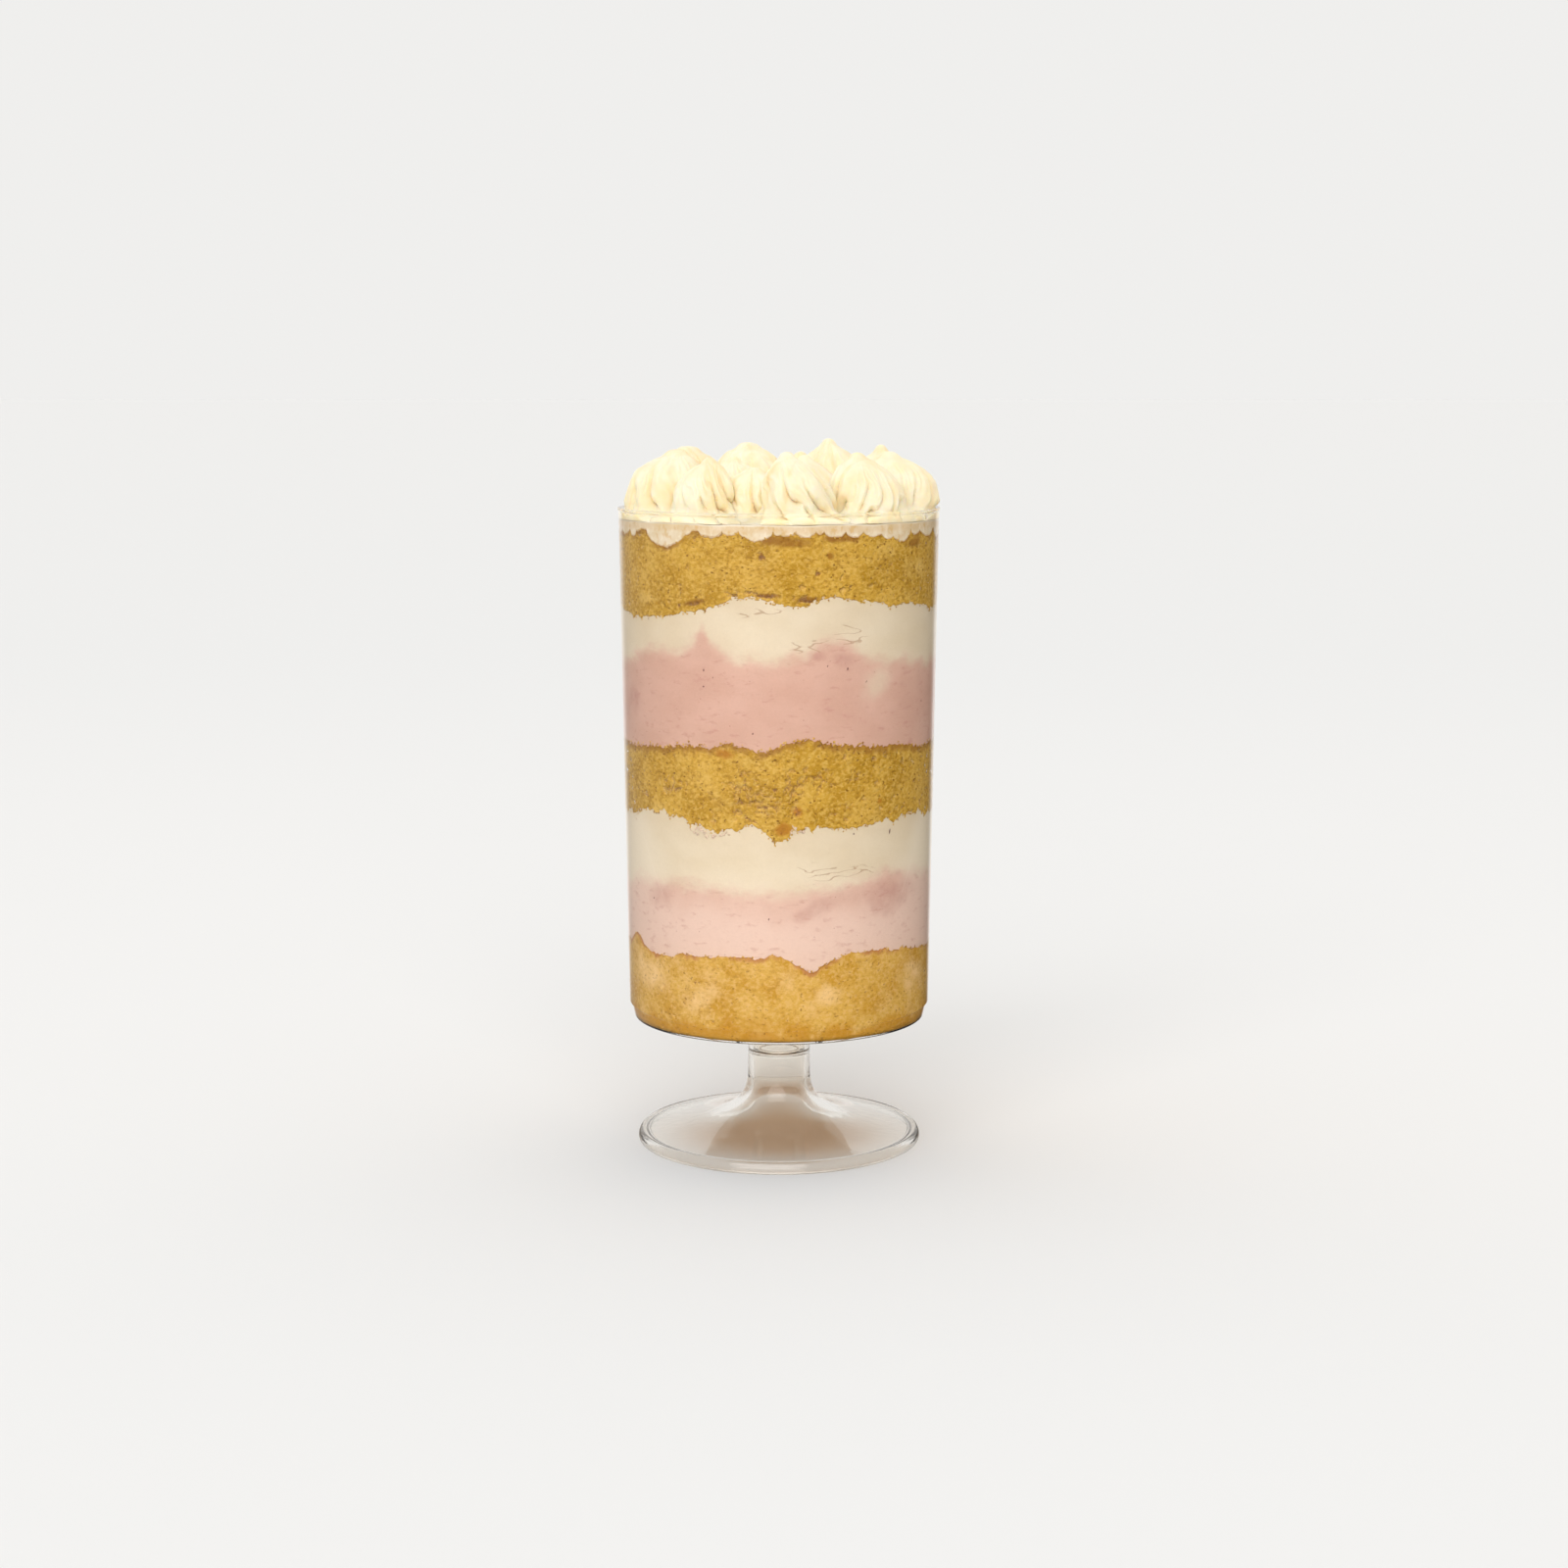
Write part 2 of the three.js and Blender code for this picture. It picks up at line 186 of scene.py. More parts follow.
class Plan:
    """A node tree that is written down one node at a time, for a finish or for a shape."""

    def __init__(self, tree):
        self.tree = tree
        tree.nodes.clear()

    def node(self, kind, inputs=None, **settings):
        """A node with its settings and what goes into it; it gives back the node's first output."""
        made = self.tree.nodes.new(kind)
        for name, value in settings.items():
            setattr(made, name, value)
        for name, value in (inputs or {}).items():
            socket = found(made.inputs, name)
            if isinstance(value, Value):
                self.tree.links.new(value.socket, socket)
            else:
                socket.default_value = value
        shown = [socket for socket in made.outputs if socket.enabled]
        return Value(self, shown[0]) if shown else None

    def math(self, operation, *values):
        inputs = dict(zip(("Value", "Value_001"), values))
        return self.node("ShaderNodeMath", inputs, operation=operation)

    def vector(self, operation, first, second):
        second_name = "Scale" if operation == "SCALE" else "Vector_001"
        return self.node("ShaderNodeVectorMath", {"Vector": first, second_name: second}, operation=operation)

    def parts(self, vector):
        """The X, Y and Z of a vector or a colour."""
        return self.node("ShaderNodeSeparateXYZ", {"Vector": vector})

    def joined(self, x, y, z=0.0):
        """A vector of three values."""
        return self.node("ShaderNodeCombineXYZ", {"X": x, "Y": y, "Z": z})

    def out_from_axis(self, parts):
        return self.math("SQRT", parts["X"] * parts["X"] + parts["Y"] * parts["Y"])

    def squashed(self, place, times):
        """A place with its height multiplied, so that what is laid out over it comes out flatter."""
        return self.vector("MULTIPLY", place, (1, 1, times))

    def between(self, factor, first, second):
        """A colour between two."""
        inputs = {"Factor_Float": factor, "A_Color": first, "B_Color": second}
        return self.node("ShaderNodeMix", inputs, data_type="RGBA")["Result_Color"]

    def washed(self, colour, *washes):
        """A colour with others laid over it in turn, each as (how strongly, colour)."""
        for share, wash in washes:
            colour = self.between(share, colour, wash)
        return colour

    def cloud(self, place, wave, detail=2.0, roughness=0.5):
        """Noise from 0 to 1 with a wavelength in the place's own units."""
        inputs = {"Vector": place, "Scale": 1 / wave, "Detail": detail, "Roughness": roughness}
        return self.node("ShaderNodeTexNoise", inputs)

    def push(self, place, wave, reach, detail=1):
        """A vector that wanders from place to place, up to half of reach each way."""
        way = self.vector("SUBTRACT", self.cloud(place, wave, detail)["Color"], (0.5, 0.5, 0.5))
        return self.vector("SCALE", way, reach)

    def cells(self, place, size, feature="F1"):
        """Voronoi cells of a size; the distance is in cells."""
        return self.node("ShaderNodeTexVoronoi", {"Vector": place, "Scale": 1 / size}, feature=feature)

    def spots(self, place, size, rim, chance, axis="X"):
        """Round spots in some of the cells of a size, 1 within them. rim is where a spot ends and where it
        is full, and chance is the draw from which a cell has one and the draw from which it is full."""
        cell = self.cells(place, size)
        return cell["Distance"].rise(*rim) * self.parts(cell["Color"])[axis].rise(*chance)

    def mark(self, name):
        """A mesh attribute."""
        if self.tree.bl_idname == "GeometryNodeTree":
            return self.node("GeometryNodeInputNamedAttribute", {"Name": name}, data_type="FLOAT")
        return self.node("ShaderNodeAttribute", attribute_name=name)["Fac"]

    def frayed(self, name, place, wave, fray, detail=3, roughness=0.5):
        """A mesh attribute frayed by a cloud."""
        return self.mark(name) + (self.cloud(place, wave, detail, roughness) - 0.5) * fray

    def place(self):
        """Object coordinates in millimetres."""
        position = self.node("ShaderNodeTexCoord")["Object"]
        return self.vector("SCALE", position, 1 / MM)

    def shader(self, colour, roughness, specular=0.5, height=None, relief=(0, 0), **more):
        """The shader of a surface. A height gives it fine relief of a strength and a depth in metres."""
        sockets = {"Base Color": colour, "Roughness": roughness, "Specular IOR Level": specular, **more}
        if height:
            strength, depth = relief
            bump = {"Strength": strength, "Distance": depth, "Height": height}
            sockets["Normal"] = self.node("ShaderNodeBump", bump)
        return self.node("ShaderNodeBsdfPrincipled", sockets)

    def show(self, shader):
        self.node("ShaderNodeOutputMaterial", {"Surface": shader})


def new_finish(name):
    """A material, its plan and the place on it in millimetres."""
    material = bpy.data.materials.new(name)
    material.use_nodes = True
    plan = Plan(material.node_tree)
    return material, plan, plan.place()


def shade(red, green, blue):
    """A colour as it is read off a colour chart, 0 to 255."""
    def linear(part):
        part /= 255
        return part / 12.92 if part < 0.04045 else ((part + 0.055) / 1.055) ** 2.4

    return linear(red), linear(green), linear(blue), 1


PLASTIC_TINT = shade(250, 247, 242)
PLASTIC_IOR = 1.49
LAMP_CHANGE = (30, 60)  # distances from the axis between which lamp gives way to outer_lamp


def clear_plastic(name, lamp, outer_lamp, lit_from=()):
    """Injection moulded clear plastic with a faint warm tint and faint flow lines in its polish. Each wall
    lets through the share lamp of a lamp's light near the stem and outer_lamp out at the rim, and the same
    for the kinds of ray in lit_from."""
    material, plan, place = new_finish(name)
    flow = plan.cloud(plan.squashed(place, 0.06), 5, 3)
    scuffs = plan.cloud(place, 14, 4, 0.6).rise(0.5, 0.8)
    clear = {"IOR": PLASTIC_IOR, "Transmission Weight": 1.0}
    polish = 0.008 * flow + 0.02 * scuffs
    plastic = plan.shader(PLASTIC_TINT, polish, height=flow, relief=(0.05, 0.0006), **clear)
    lamp_light = plan.node("ShaderNodeMixShader", {
        "Fac": plan.out_from_axis(plan.parts(place)).rise(*LAMP_CHANGE),
        "Shader": plan.node("ShaderNodeBsdfTransparent", {"Color": lamp}),
        "Shader_001": plan.node("ShaderNodeBsdfTransparent", {"Color": outer_lamp}),
    })
    ray = plan.node("ShaderNodeLightPath")
    in_shadow = ray["Is Shadow Ray"]
    for kind in lit_from:
        in_shadow = plan.math("MAXIMUM", in_shadow, ray[kind])
    mixed = {"Fac": in_shadow, "Shader": plastic, "Shader_001": lamp_light}
    plan.show(plan.node("ShaderNodeMixShader", mixed))
    return material


def curve(start, first, second, end):
    """A smooth line between two points, drawn towards two others."""
    t = np.linspace(0, 1, FLARE_STEPS)[:, None]
    line = (1 - t) ** 3 * np.array(start) + 3 * t * (1 - t) ** 2 * np.array(first)
    line = line + 3 * t**2 * (1 - t) * np.array(second) + t**3 * np.array(end)
    return line.tolist()


spigot_foot = SOCKET_BOTTOM - SEAM
rim_inside = FOOT_RADIUS - FOOT_RIM_WIDTH
stem_bore = SOCKET_RADIUS - FOOT_WALL
hollow_top = SPIGOT_TOP - SPIGOT_CAP
spigot_bore = SPIGOT_RADIUS - FOOT_WALL
inside_flare = curve((stem_bore, 30), (stem_bore, 16), (18.5, 9.4), (rim_inside - 1.6, 3.3))
outside_flare = curve((SOCKET_RADIUS, 34), (SOCKET_RADIUS, 20), (20, 11), (rim_inside + 0.3, 5.6))
foot_outline = [
    (0, hollow_top),
    (spigot_bore, hollow_top),
    (spigot_bore, spigot_foot + 0.6),
    (stem_bore, spigot_foot - 1.6),
    *inside_flare,
    (rim_inside - 0.8, 0),
    (FOOT_RADIUS - 0.9, 0),
    (FOOT_RADIUS - 0.2, 1),
    (FOOT_RADIUS, 2.6),
    (FOOT_RADIUS - 0.7, 4.6),
    (FOOT_RADIUS - 1.9, FOOT_RIM_HEIGHT - 0.4),
    *outside_flare[::-1],
    (SOCKET_RADIUS, spigot_foot),
    (SPIGOT_RADIUS, spigot_foot),
    (SPIGOT_RADIUS, SPIGOT_TOP),
    (0, SPIGOT_TOP),
]
STEM_LAMP = (0.86, 0.72, 0.58, 1)
CLEAR_LAMP = (0.97, 0.955, 0.93, 1)
foot_plastic = clear_plastic("clear_plastic_of_the_foot", STEM_LAMP, CLEAR_LAMP, ["Is Diffuse Ray"])
foot = turned("trumpet_foot", eased(foot_outline, 0.9), foot_plastic)
fitted(foot, "clear_plastic", "foot")


# ---- Bowl ------------------------------------------------
# The tall straight bowl, moulded in clear plastic: a drafted wall with a small square lip, a stepped
# base and, under it, the socket that takes the foot's spigot.

RIM_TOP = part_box("bowl")[1].z / MM
RIM_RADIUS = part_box("bowl")[1].x / MM
LIP_HEIGHT = 1.6
LIP_ROUND = 0.4
WALL = 2.3
DRAFT = 0.0154  # growth of the radius for each millimetre of height
BASE_UNDERSIDE = 61.3
BASE_RADIUS = 68.8
STEP_TOP = 68.2
FLOOR = 1.1
FLOOR_FILLET = 2.4
FILLET_DEPTH = 1.4
SOCKET_BORE = 12.4
FLOOR_TOP = BASE_UNDERSIDE + FLOOR


def wall_outside(height):
    return RIM_RADIUS - LIP_ROUND - DRAFT * (RIM_TOP - height)


def wall_inside(height):
    """Inside radius of the bowl at a height, with the rounding above its floor."""
    low = np.clip((height - FLOOR_TOP) / FLOOR_FILLET, 0, 1)
    return wall_outside(height) - WALL - FILLET_DEPTH * (1 - np.sqrt(1 - (1 - low) ** 2))


lip_bottom = RIM_TOP - LIP_HEIGHT
fillet_heights = FLOOR_TOP + FLOOR_FILLET * np.array([1, 0.75, 0.5, 0.3, 0.15, 0.06, 0.02, 0])
bowl_outline = [
    (0, BASE_UNDERSIDE),
    (SOCKET_BORE, BASE_UNDERSIDE),
    (SOCKET_BORE, SOCKET_BOTTOM),
    (SOCKET_RADIUS, SOCKET_BOTTOM),
    (SOCKET_RADIUS, BASE_UNDERSIDE),
    (BASE_RADIUS - 0.4, BASE_UNDERSIDE),
    (BASE_RADIUS, BASE_UNDERSIDE + 0.6),
    (wall_outside(STEP_TOP) - 1.1, STEP_TOP - 0.7),
    (wall_outside(STEP_TOP), STEP_TOP),
    (wall_outside(lip_bottom), lip_bottom),
    (RIM_RADIUS, lip_bottom + LIP_ROUND),
    (RIM_RADIUS, RIM_TOP),
    (wall_inside(RIM_TOP), RIM_TOP),
    *[(wall_inside(height), height) for height in fillet_heights],
    (0, FLOOR_TOP),
]
bowl_plastic = clear_plastic("clear_plastic_of_the_bowl", CLEAR_LAMP, CLEAR_LAMP)
bowl = turned("tall_bowl", eased(bowl_outline, 0.5, gentlest=25), bowl_plastic)
fitted(bowl, "clear_plastic", "bowl")


# ---- Joins between the layers ----------------------------
# Each layer was spooned or laid on the last and pressed out to the wall, so the joins that show through
# the bowl swell and dip. Sponge crumbles along its edges, and the cream on top hangs over it in tongues.

COLUMNS = 900  # points round a layer
CONTACT = 0.25  # how far a layer is pressed into the wall
angles = np.linspace(0, 2 * math.pi, COLUMNS, endpoint=False)
turned_by = np.degrees(np.arctan2(np.sin(angles), np.cos(angles)))
BACK_SWELLS = 4
BACK_RISE = 3.5
BACK_SPREAD = 13

# Each join has its middle height, swells of (degrees from the front, rise, spread) and crumble of
# (depth, length).
joins = {
    "sponge_bottom": (
        100.5,
        [(-68, 5, 5), (-50, -2, 9), (-18, 1.5, 7), (0, 2.6, 6), (12, -5.4, 6), (36, 2.5, 12), (76, -3, 14)],
        [(0.8, 9), (0.5, 3.2), (0.35, 1.3)],
    ),
    "mousse_lower": (133, [(-78, -4.5, 14), (-5, -3, 18), (48, 3.5, 16)], [(1.6, 26), (0.8, 9)]),
    "cream_lower": (
        160.5,
        [(-50, 5, 16), (-19, -2, 7), (-9, 1.5, 4), (-1, -5.5, 5), (53, 2.6, 12)],
        [(1.2, 9), (1.4, 3.6), (0.8, 1.5)],
    ),
    "sponge_middle": (
        197,
        [(-65, -3.4, 20), (-18, 1.8, 6), (-4, -2, 6), (10, 4, 9), (68, -3.2, 16)],
        [(0.8, 8), (0.8, 2.6), (0.7, 1.2)],
    ),
    "mousse_upper": (
        236,
        [(-76, -4.5, 15), (-50, 2.5, 10), (-28, 8, 8), (-28, 6, 2.4), (20, 8.5, 11), (72, -4.5, 20)],
        [(1.8, 24), (0.8, 8)],
    ),
    "cream_upper": (
        259.5,
        [(-58, -6.5, 24), (-11, 4.8, 11), (21, 4.8, 10), (74, -2.5, 14)],
        [(1.0, 11), (0.8, 3.6), (0.5, 1.4)],
    ),
    "sponge_top": (290.6, [(0, 3, 1000), (-70, -1.5, 16), (72, -1.5, 14)], [(0.4, 6), (0.3, 1.5)]),
}

# Tongues of the cream on top, as (start, end, how far it hangs), the angles in degrees from the front.
front_tongues = [
    (-76, -67, 1.6), (-66, -61, 2.6), (-54, -34, 7.4), (-43, -32, 2.4), (-29, -20, 2.8),
    (-20, -14, 1.5), (-14, -2, 4.2), (-2, 6, 2.2), (6, 13, 2.6), (13, 16, 1.1),
    (16, 24, 2.6), (24, 31, 3.1), (31, 40, 3.0), (38, 46, 4.3), (43, 54, 5.6),
    (54, 60, 2.4), (60, 72, 2.8),
]
BACK_START = 74
BACK_END = 282
TONGUE_ROUNDNESS = 0.6
SEED_STEP = 7.3  # how far apart in the noise two seeds read it
NOISE_GAIN = 1.6  # brings the noise to about -1 to 1


def draw(seed):
    """A repeatable draw from 0 to 1."""
    wave = math.sin(seed * 127.1 + 11.7) * 43758.5453
    return wave - math.floor(wave)


def away_from(at):
    """Degrees from a direction to every column, the short way."""
    return (turned_by - at + 180) % 360 - 180


def wander(length, seed):
    """Noise round the wall, from -1 to 1, that changes over a length in millimetres."""
    reach = wall_inside(RIM_TOP) / length
    around = round_axis(angles, reach, seed * SEED_STEP)
    return np.array([noise.noise(Vector(point)) for point in around]) * NOISE_GAIN


def hanging():
    """How far the tongues hang at each column: those listed, and drawn ones round the back."""
    tongues = list(front_tongues)
    at = BACK_START
    while at < BACK_END:
        width = 4 + 9 * draw(at)
        tongues.append((at, at + width, 0.6 + 0.22 * width + 1.8 * draw(at + 0.5)))
        at += width
    drop = np.zeros(COLUMNS)
    for start, end, depth in tongues:
        share = away_from((start + end) / 2) / ((end - start) / 2)
        drop = np.maximum(drop, depth * np.clip(1 - share**2, 0, 1) ** TONGUE_ROUNDNESS)
    return drop


def edge_of(name):
    """Heights of a join at the wall, all the way round."""
    middle, swells, crumble = joins[name]
    swells = list(swells)
    index = list(joins).index(name)
    for k in range(BACK_SWELLS):
        seed = index * BACK_SWELLS + k
        at = 120 + 40 * (k + 0.6 * draw(seed))
        swells.append((at, BACK_RISE * (2 * draw(seed + 0.5) - 1), BACK_SPREAD))
    height = np.full(COLUMNS, float(middle))
    for at, rise, spread in swells:
        height += rise * np.exp(-((away_from(at) / spread) ** 2))
    for k, (depth, length) in enumerate(crumble):
        height += depth * wander(length, index * 5 + k)
    return height


edges = {name: edge_of(name) for name in joins}
edges["sponge_top"] -= hanging()

# Below this line the lower filling has wetted the wall.
WET_FRONT = 116
WET_LEFT = (-43, 2.1)  # degrees from the front where the line starts to climb, and millimetres per degree
WET_RIGHT = (48, 2.3)
wet_line = WET_FRONT + WET_LEFT[1] * np.maximum(WET_LEFT[0] - turned_by, 0)
wet_line += WET_RIGHT[1] * np.maximum(turned_by - WET_RIGHT[0], 0)
wet_line += 0.8 * wander(20, 71)
FAR = 1e3
FACE_RINGS = (0.3, 0.6, 0.85, 0.97)  # rings on a layer's two faces, as shares of the way out
SHARP_EDGE = math.radians(50)
NEAR_WALL = 40  # spots are marked only farther out than this


def layer(name, lower, upper, rows, finish, tuck_low=0.0, tuck_high=0.0, ease=0.0, wetted=-FAR, press=0.0):
    """A closed layer between two joins. tuck is how far it runs on behind a neighbour's edge, ease rounds
    its own edges, wetted is the line below which it wets the wall, and press pushes it further into it."""
    low_base, low_edge = lower
    high_base, high_edge = upper
    low_edge = low_edge - tuck_low
    high_edge = high_edge + tuck_high
    rings, marks = [], []

    def ring(radius, height, side, wet):
        rings.append(round_axis(angles, radius, height))
        marks.append(np.stack([height - lower[1], upper[1] - height, np.full(COLUMNS, side), wet], 1))

    def face(base, edge, shares):
        for share in shares:
            height = base + (edge - base) * share**2
            reach = wall_inside(np.maximum(height, FLOOR_TOP + 0.2))
            ring(reach * share, height, 0.0, np.full(COLUMNS, -FAR))

    face(low_base, low_edge, FACE_RINGS)
    for row in range(rows + 1):
        height = low_edge + (high_edge - low_edge) * row / rows
        radius = wall_inside(height) + (CONTACT + press)
        if ease:
            near = np.minimum(height - low_edge, high_edge - height)
            radius -= ease - np.sqrt(ease**2 - np.clip(ease - near, 0, ease) ** 2)
        ring(radius, height, 1.0, wetted - height)
    face(high_base, high_edge, FACE_RINGS[::-1])
    points, faces = skin((0, 0, low_base), rings, (0, 0, high_base))
    piece = new_piece(name, points, faces, finish)
    piece.data.set_sharp_from_angle(angle=SHARP_EDGE)
    flat = np.concatenate(marks)
    for column, label in enumerate(("over_join", "under_join", "side", "wet")):
        store(piece, label, [0.0, *flat[:, column].tolist(), 0.0])
    return piece


def store(piece, label, values):
    attribute = piece.data.attributes.new(label, "FLOAT", "POINT")
    attribute.data.foreach_set("value", values)


def places_of(piece):
    """The points of a piece, in millimetres."""
    points = np.empty(len(piece.data.vertices) * 3, np.float32)
    piece.data.vertices.foreach_get("co", points)
    return points.reshape(-1, 3).astype(float) / MM


def spotted(piece, marks):
    """Marks soft oval spots under a name, each as (degrees from the front, height, width, tallness, lean)."""
    points = places_of(piece)
    at = np.degrees(np.arctan2(points[:, 0], -points[:, 1]))
    radius = np.hypot(points[:, 0], points[:, 1])
    for label, spots in marks.items():
        mark = np.zeros(len(points))
        for degrees, height, width, tallness, lean in spots:
            across = np.radians((at - degrees + 180) % 360 - 180) * radius
            up = points[:, 2] - height
            turn = math.radians(lean)
            along = across * math.cos(turn) + up * math.sin(turn)
            aside = up * math.cos(turn) - across * math.sin(turn)
            reach = np.hypot(along / (width / 2), aside / (tallness / 2))
            mark = np.maximum(mark, np.clip(1.5 - reach, 0, 1) * (radius > NEAR_WALL))
        store(piece, label, mark.tolist())


def join_of(name):
    return joins[name][0], edges[name]


# ---- Sponge layers ---------------------------------------
# Three rounds of butter sponge cut from one cake. Their open crumb is pressed against the wall, and the
# syrup brushed on them has soaked in along their top edges and pooled at the foot of the bottom one.


def new_growth(name, sizes):
    """A geometry tree with named inputs, and its plan and input values."""
    tree = bpy.data.node_groups.new(name, "GeometryNodeTree")
    plan = Plan(tree)
    kinds = {"Geometry": "Geometry", "Finish": "Material"}
    for label in ("Geometry", *sizes, "Finish"):
        tree.interface.new_socket(label, in_out="INPUT", socket_type="NodeSocket" + kinds.get(label, "Float"))
    tree.interface.new_socket("Grown", in_out="OUTPUT", socket_type="NodeSocketGeometry")
    return tree, plan, plan.node("NodeGroupInput")


def labelled(plan, geometry, label, value):
    """The geometry with a value kept at each of its points."""
    inputs = {"Geometry": geometry, "Name": label, "Value": value}
    return plan.node("GeometryNodeStoreNamedAttribute", inputs, data_type="FLOAT", domain="POINT")


def end_growth(plan, given, geometry):
    realized = plan.node("GeometryNodeRealizeInstances", {"Geometry": geometry})
    finished = plan.node("GeometryNodeSetMaterial", {"Geometry": realized, "Material": given["Finish"]})
    plan.node("NodeGroupOutput", {"Grown": finished})


def grown(name, tree, sizes, finish, base=None):
    """A plain mesh piece that a geometry tree makes, from a base piece if one is given."""
    holder = base or new_piece(name + "_start", [(0, 0, 0)], [])
    modifier = holder.modifiers.new("growth", "NODES")
    modifier.node_group = tree
    for socket in tree.interface.items_tree:
        if socket.in_out == "INPUT" and socket.name in sizes:
            modifier[socket.identifier] = float(sizes[socket.name])
        if socket.name == "Finish":
            modifier[socket.identifier] = finish
    depsgraph = bpy.context.evaluated_depsgraph_get()
    mesh = bpy.data.meshes.new_from_object(holder.evaluated_get(depsgraph), depsgraph=depsgraph)
    mesh.polygons.foreach_set("use_smooth", [True] * len(mesh.polygons))
    mesh.name = name
    bpy.data.objects.remove(holder)
    return in_scene(name, mesh)


def crumb_tree():
    """Sinks pores, hollows, cracks and torn crumb into the side of a layer."""
    depths = ("Pore Depth", "Pin Depth", "Hollow Depth", "Grain Depth", "Tear Depth", "Crack Depth")
    tree, plan, given = new_growth("open_crumb", ("Pore Size", *depths, "Seed"))
    position = plan.node("GeometryNodeInputPosition")
    place = plan.vector("SCALE", position, 1 / MM)
    place = plan.vector("ADD", place, plan.joined(given["Seed"], given["Seed"] * 3.1))
    warped = plan.vector("ADD", place, plan.push(place, 1.6, 2.2))
    holes = plan.cells(plan.vector("SCALE", warped, 1 / given["Pore Size"]), 1.0)
    chance = plan.parts(holes["Color"])["X"]
    hole_radius = chance.rise(0.66, 1.0) * 0.26 + 0.03
    pore = 1 - (holes["Distance"] / hole_radius).rise(0.5, 1.1)
    pore = pore * chance.rise(0.64, 0.75)
    pin = plan.spots(warped, 1.5, (0.44, 0.14), (0.3, 0.85))
    grain = plan.cloud(warped, 1.3, 2)
    ragged = plan.cloud(plan.squashed(warped, 1.4), 5.0, 4, 0.65)
    tearing = ragged.rise(0.57, 0.7)
    hollowed = plan.frayed("hollow", warped, 1.5, 2.4, 3, 0.6).rise(0.45, 1.0)
    hollowed = hollowed * plan.mark("hollow").rise(0.1, 0.4)
    clumps = plan.vector("ADD", warped, plan.push(place, 3.5, 6, 2))
    split = 1 - plan.cells(clumps, 5.5, "DISTANCE_TO_EDGE")["Distance"].rise(0.02, 0.11)
    split = split * plan.frayed("torn", place, 3.0, 1.8, 2).rise(0.35, 0.9)
    sunk_by = (pore, pin, hollowed, grain, tearing, split)
    sink = sum(mark * given[depth] for mark, depth in zip(sunk_by, depths))
    sink = sink * plan.mark("side") * plan.mark("over_join").rise(-1.0, 0.8)
    flat = {"Vector": plan.squashed(position, 0)}
    outward = plan.node("ShaderNodeVectorMath", flat, operation="NORMALIZE")
    offset = plan.vector("SCALE", outward, sink * -MM)
    sunk = plan.node("GeometryNodeSetPosition", {"Geometry": given["Geometry"], "Offset": offset})
    end_growth(plan, given, labelled(plan, sunk, "sink", sink))
    return tree


open_crumb = crumb_tree()

DRY_CRUMB = (shade(182, 143, 40), shade(203, 165, 66), shade(224, 192, 108))
WET_CRUMB = (shade(196, 153, 52), shade(211, 173, 84), shade(234, 204, 148))
CRUMB_BROWN = shade(128, 84, 18)
# Painted shade in the pinholes.
PORE_SHADE = shade(112, 68, 14)
# Painted shade for sunk crumb and along the joins between layers.
CRUMB_SHADE = shade(140, 92, 28)
CRUMB_SOAKED = shade(148, 102, 34)
CRUMB_CRUST = shade(176, 118, 34)
CRUMB_BERRY = shade(178, 116, 74)
CRUMB_SYRUP = shade(190, 140, 34)


def sponge_finish(name, tones, soak, patchy, syrup, stain, contrast=1.0, juice=CRUMB_SOAKED):
    """Baked crumb in grains of ochre, gold and straw, with pinholes painted dark as shade. Juice has soaked
    down from the top edge in patches, and stains and pale spots lie where the layer is marked. Sunk crumb
    and a thin line along the joins are painted darker as shade."""
    material, plan, place = new_finish(name)
    warped = plan.vector("ADD", place, plan.push(place, 1.2, 1.8))
    ochre, gold, straw = tones
    pale = plan.frayed("pale", place, 9, 2.6, 4, 0.6).rise(0.0, 1.4) * 0.85
    pale = pale + plan.cloud(place, 17, 3).rise(0.52, 0.74) * 0.3
    grains = plan.cells(plan.squashed(warped, 1.25), 1.5)
    specks = plan.cloud(plan.squashed(place, 1.3), 1.9, 3, 0.65)
    light = 0.4 * plan.parts(grains["Color"])["X"] + 0.9 * specks.rise(0.36, 0.64) - 0.65
    depth_under = plan.mark("under_join") + plan.cloud(place, 4, 3) * soak * 1.6 - soak * 0.8
    soaked = depth_under.rise(soak, 0.15 * soak) * plan.cloud(place, 15, 2).rise(*patchy)
    depth_over = plan.mark("over_join") + plan.cloud(place, 9, 3) * 24
    pinhole = plan.spots(plan.squashed(warped, 1.3), 2.2, (0.3, 0.14), (0.55, 0.75), "Y")
    stained = plan.frayed("stain", place, 3, 1.4).rise(0.1, 1.1)
    stained = stained * plan.mark("stain").rise(0.0, 0.4)
    edge = plan.math("MINIMUM", plan.mark("under_join"), plan.mark("over_join") + 0.2)
    edge = edge + plan.cloud(place, 5, 3) * 1.6
    colour = plan.washed(
        ochre,
        (plan.cloud(place, 14, 4, 0.5).rise(0.34, 0.6), gold),
        (plan.math("MINIMUM", pale, 1.0), straw),
        (light.rise(-0.05, 0.55) * (0.55 * contrast), straw),
        (light.rise(-0.2, -0.65) * (0.5 * contrast), CRUMB_BROWN),
        (soaked * 0.75, juice),
        (depth_over.rise(22, 14) * syrup, CRUMB_SYRUP),
        # Pinholes painted dark as shade.
        (pinhole * (0.8 * contrast), PORE_SHADE),
        (stained * 0.85, stain),
        # Painted shade: darker where the crumb is sunk and in a thin line along the joins.
        (plan.mark("sink").rise(0.6, 1.6) * 0.8, CRUMB_SHADE),
        (edge.rise(1.5, 0.9) * 0.6, CRUMB_SHADE),
    )
    height = plan.cloud(place, 0.7, 3, 0.65) - pinhole
    plan.show(plan.shader(colour, 0.85 - 0.35 * soaked, 0.25, height, (0.5, 0.0005)))
    return material


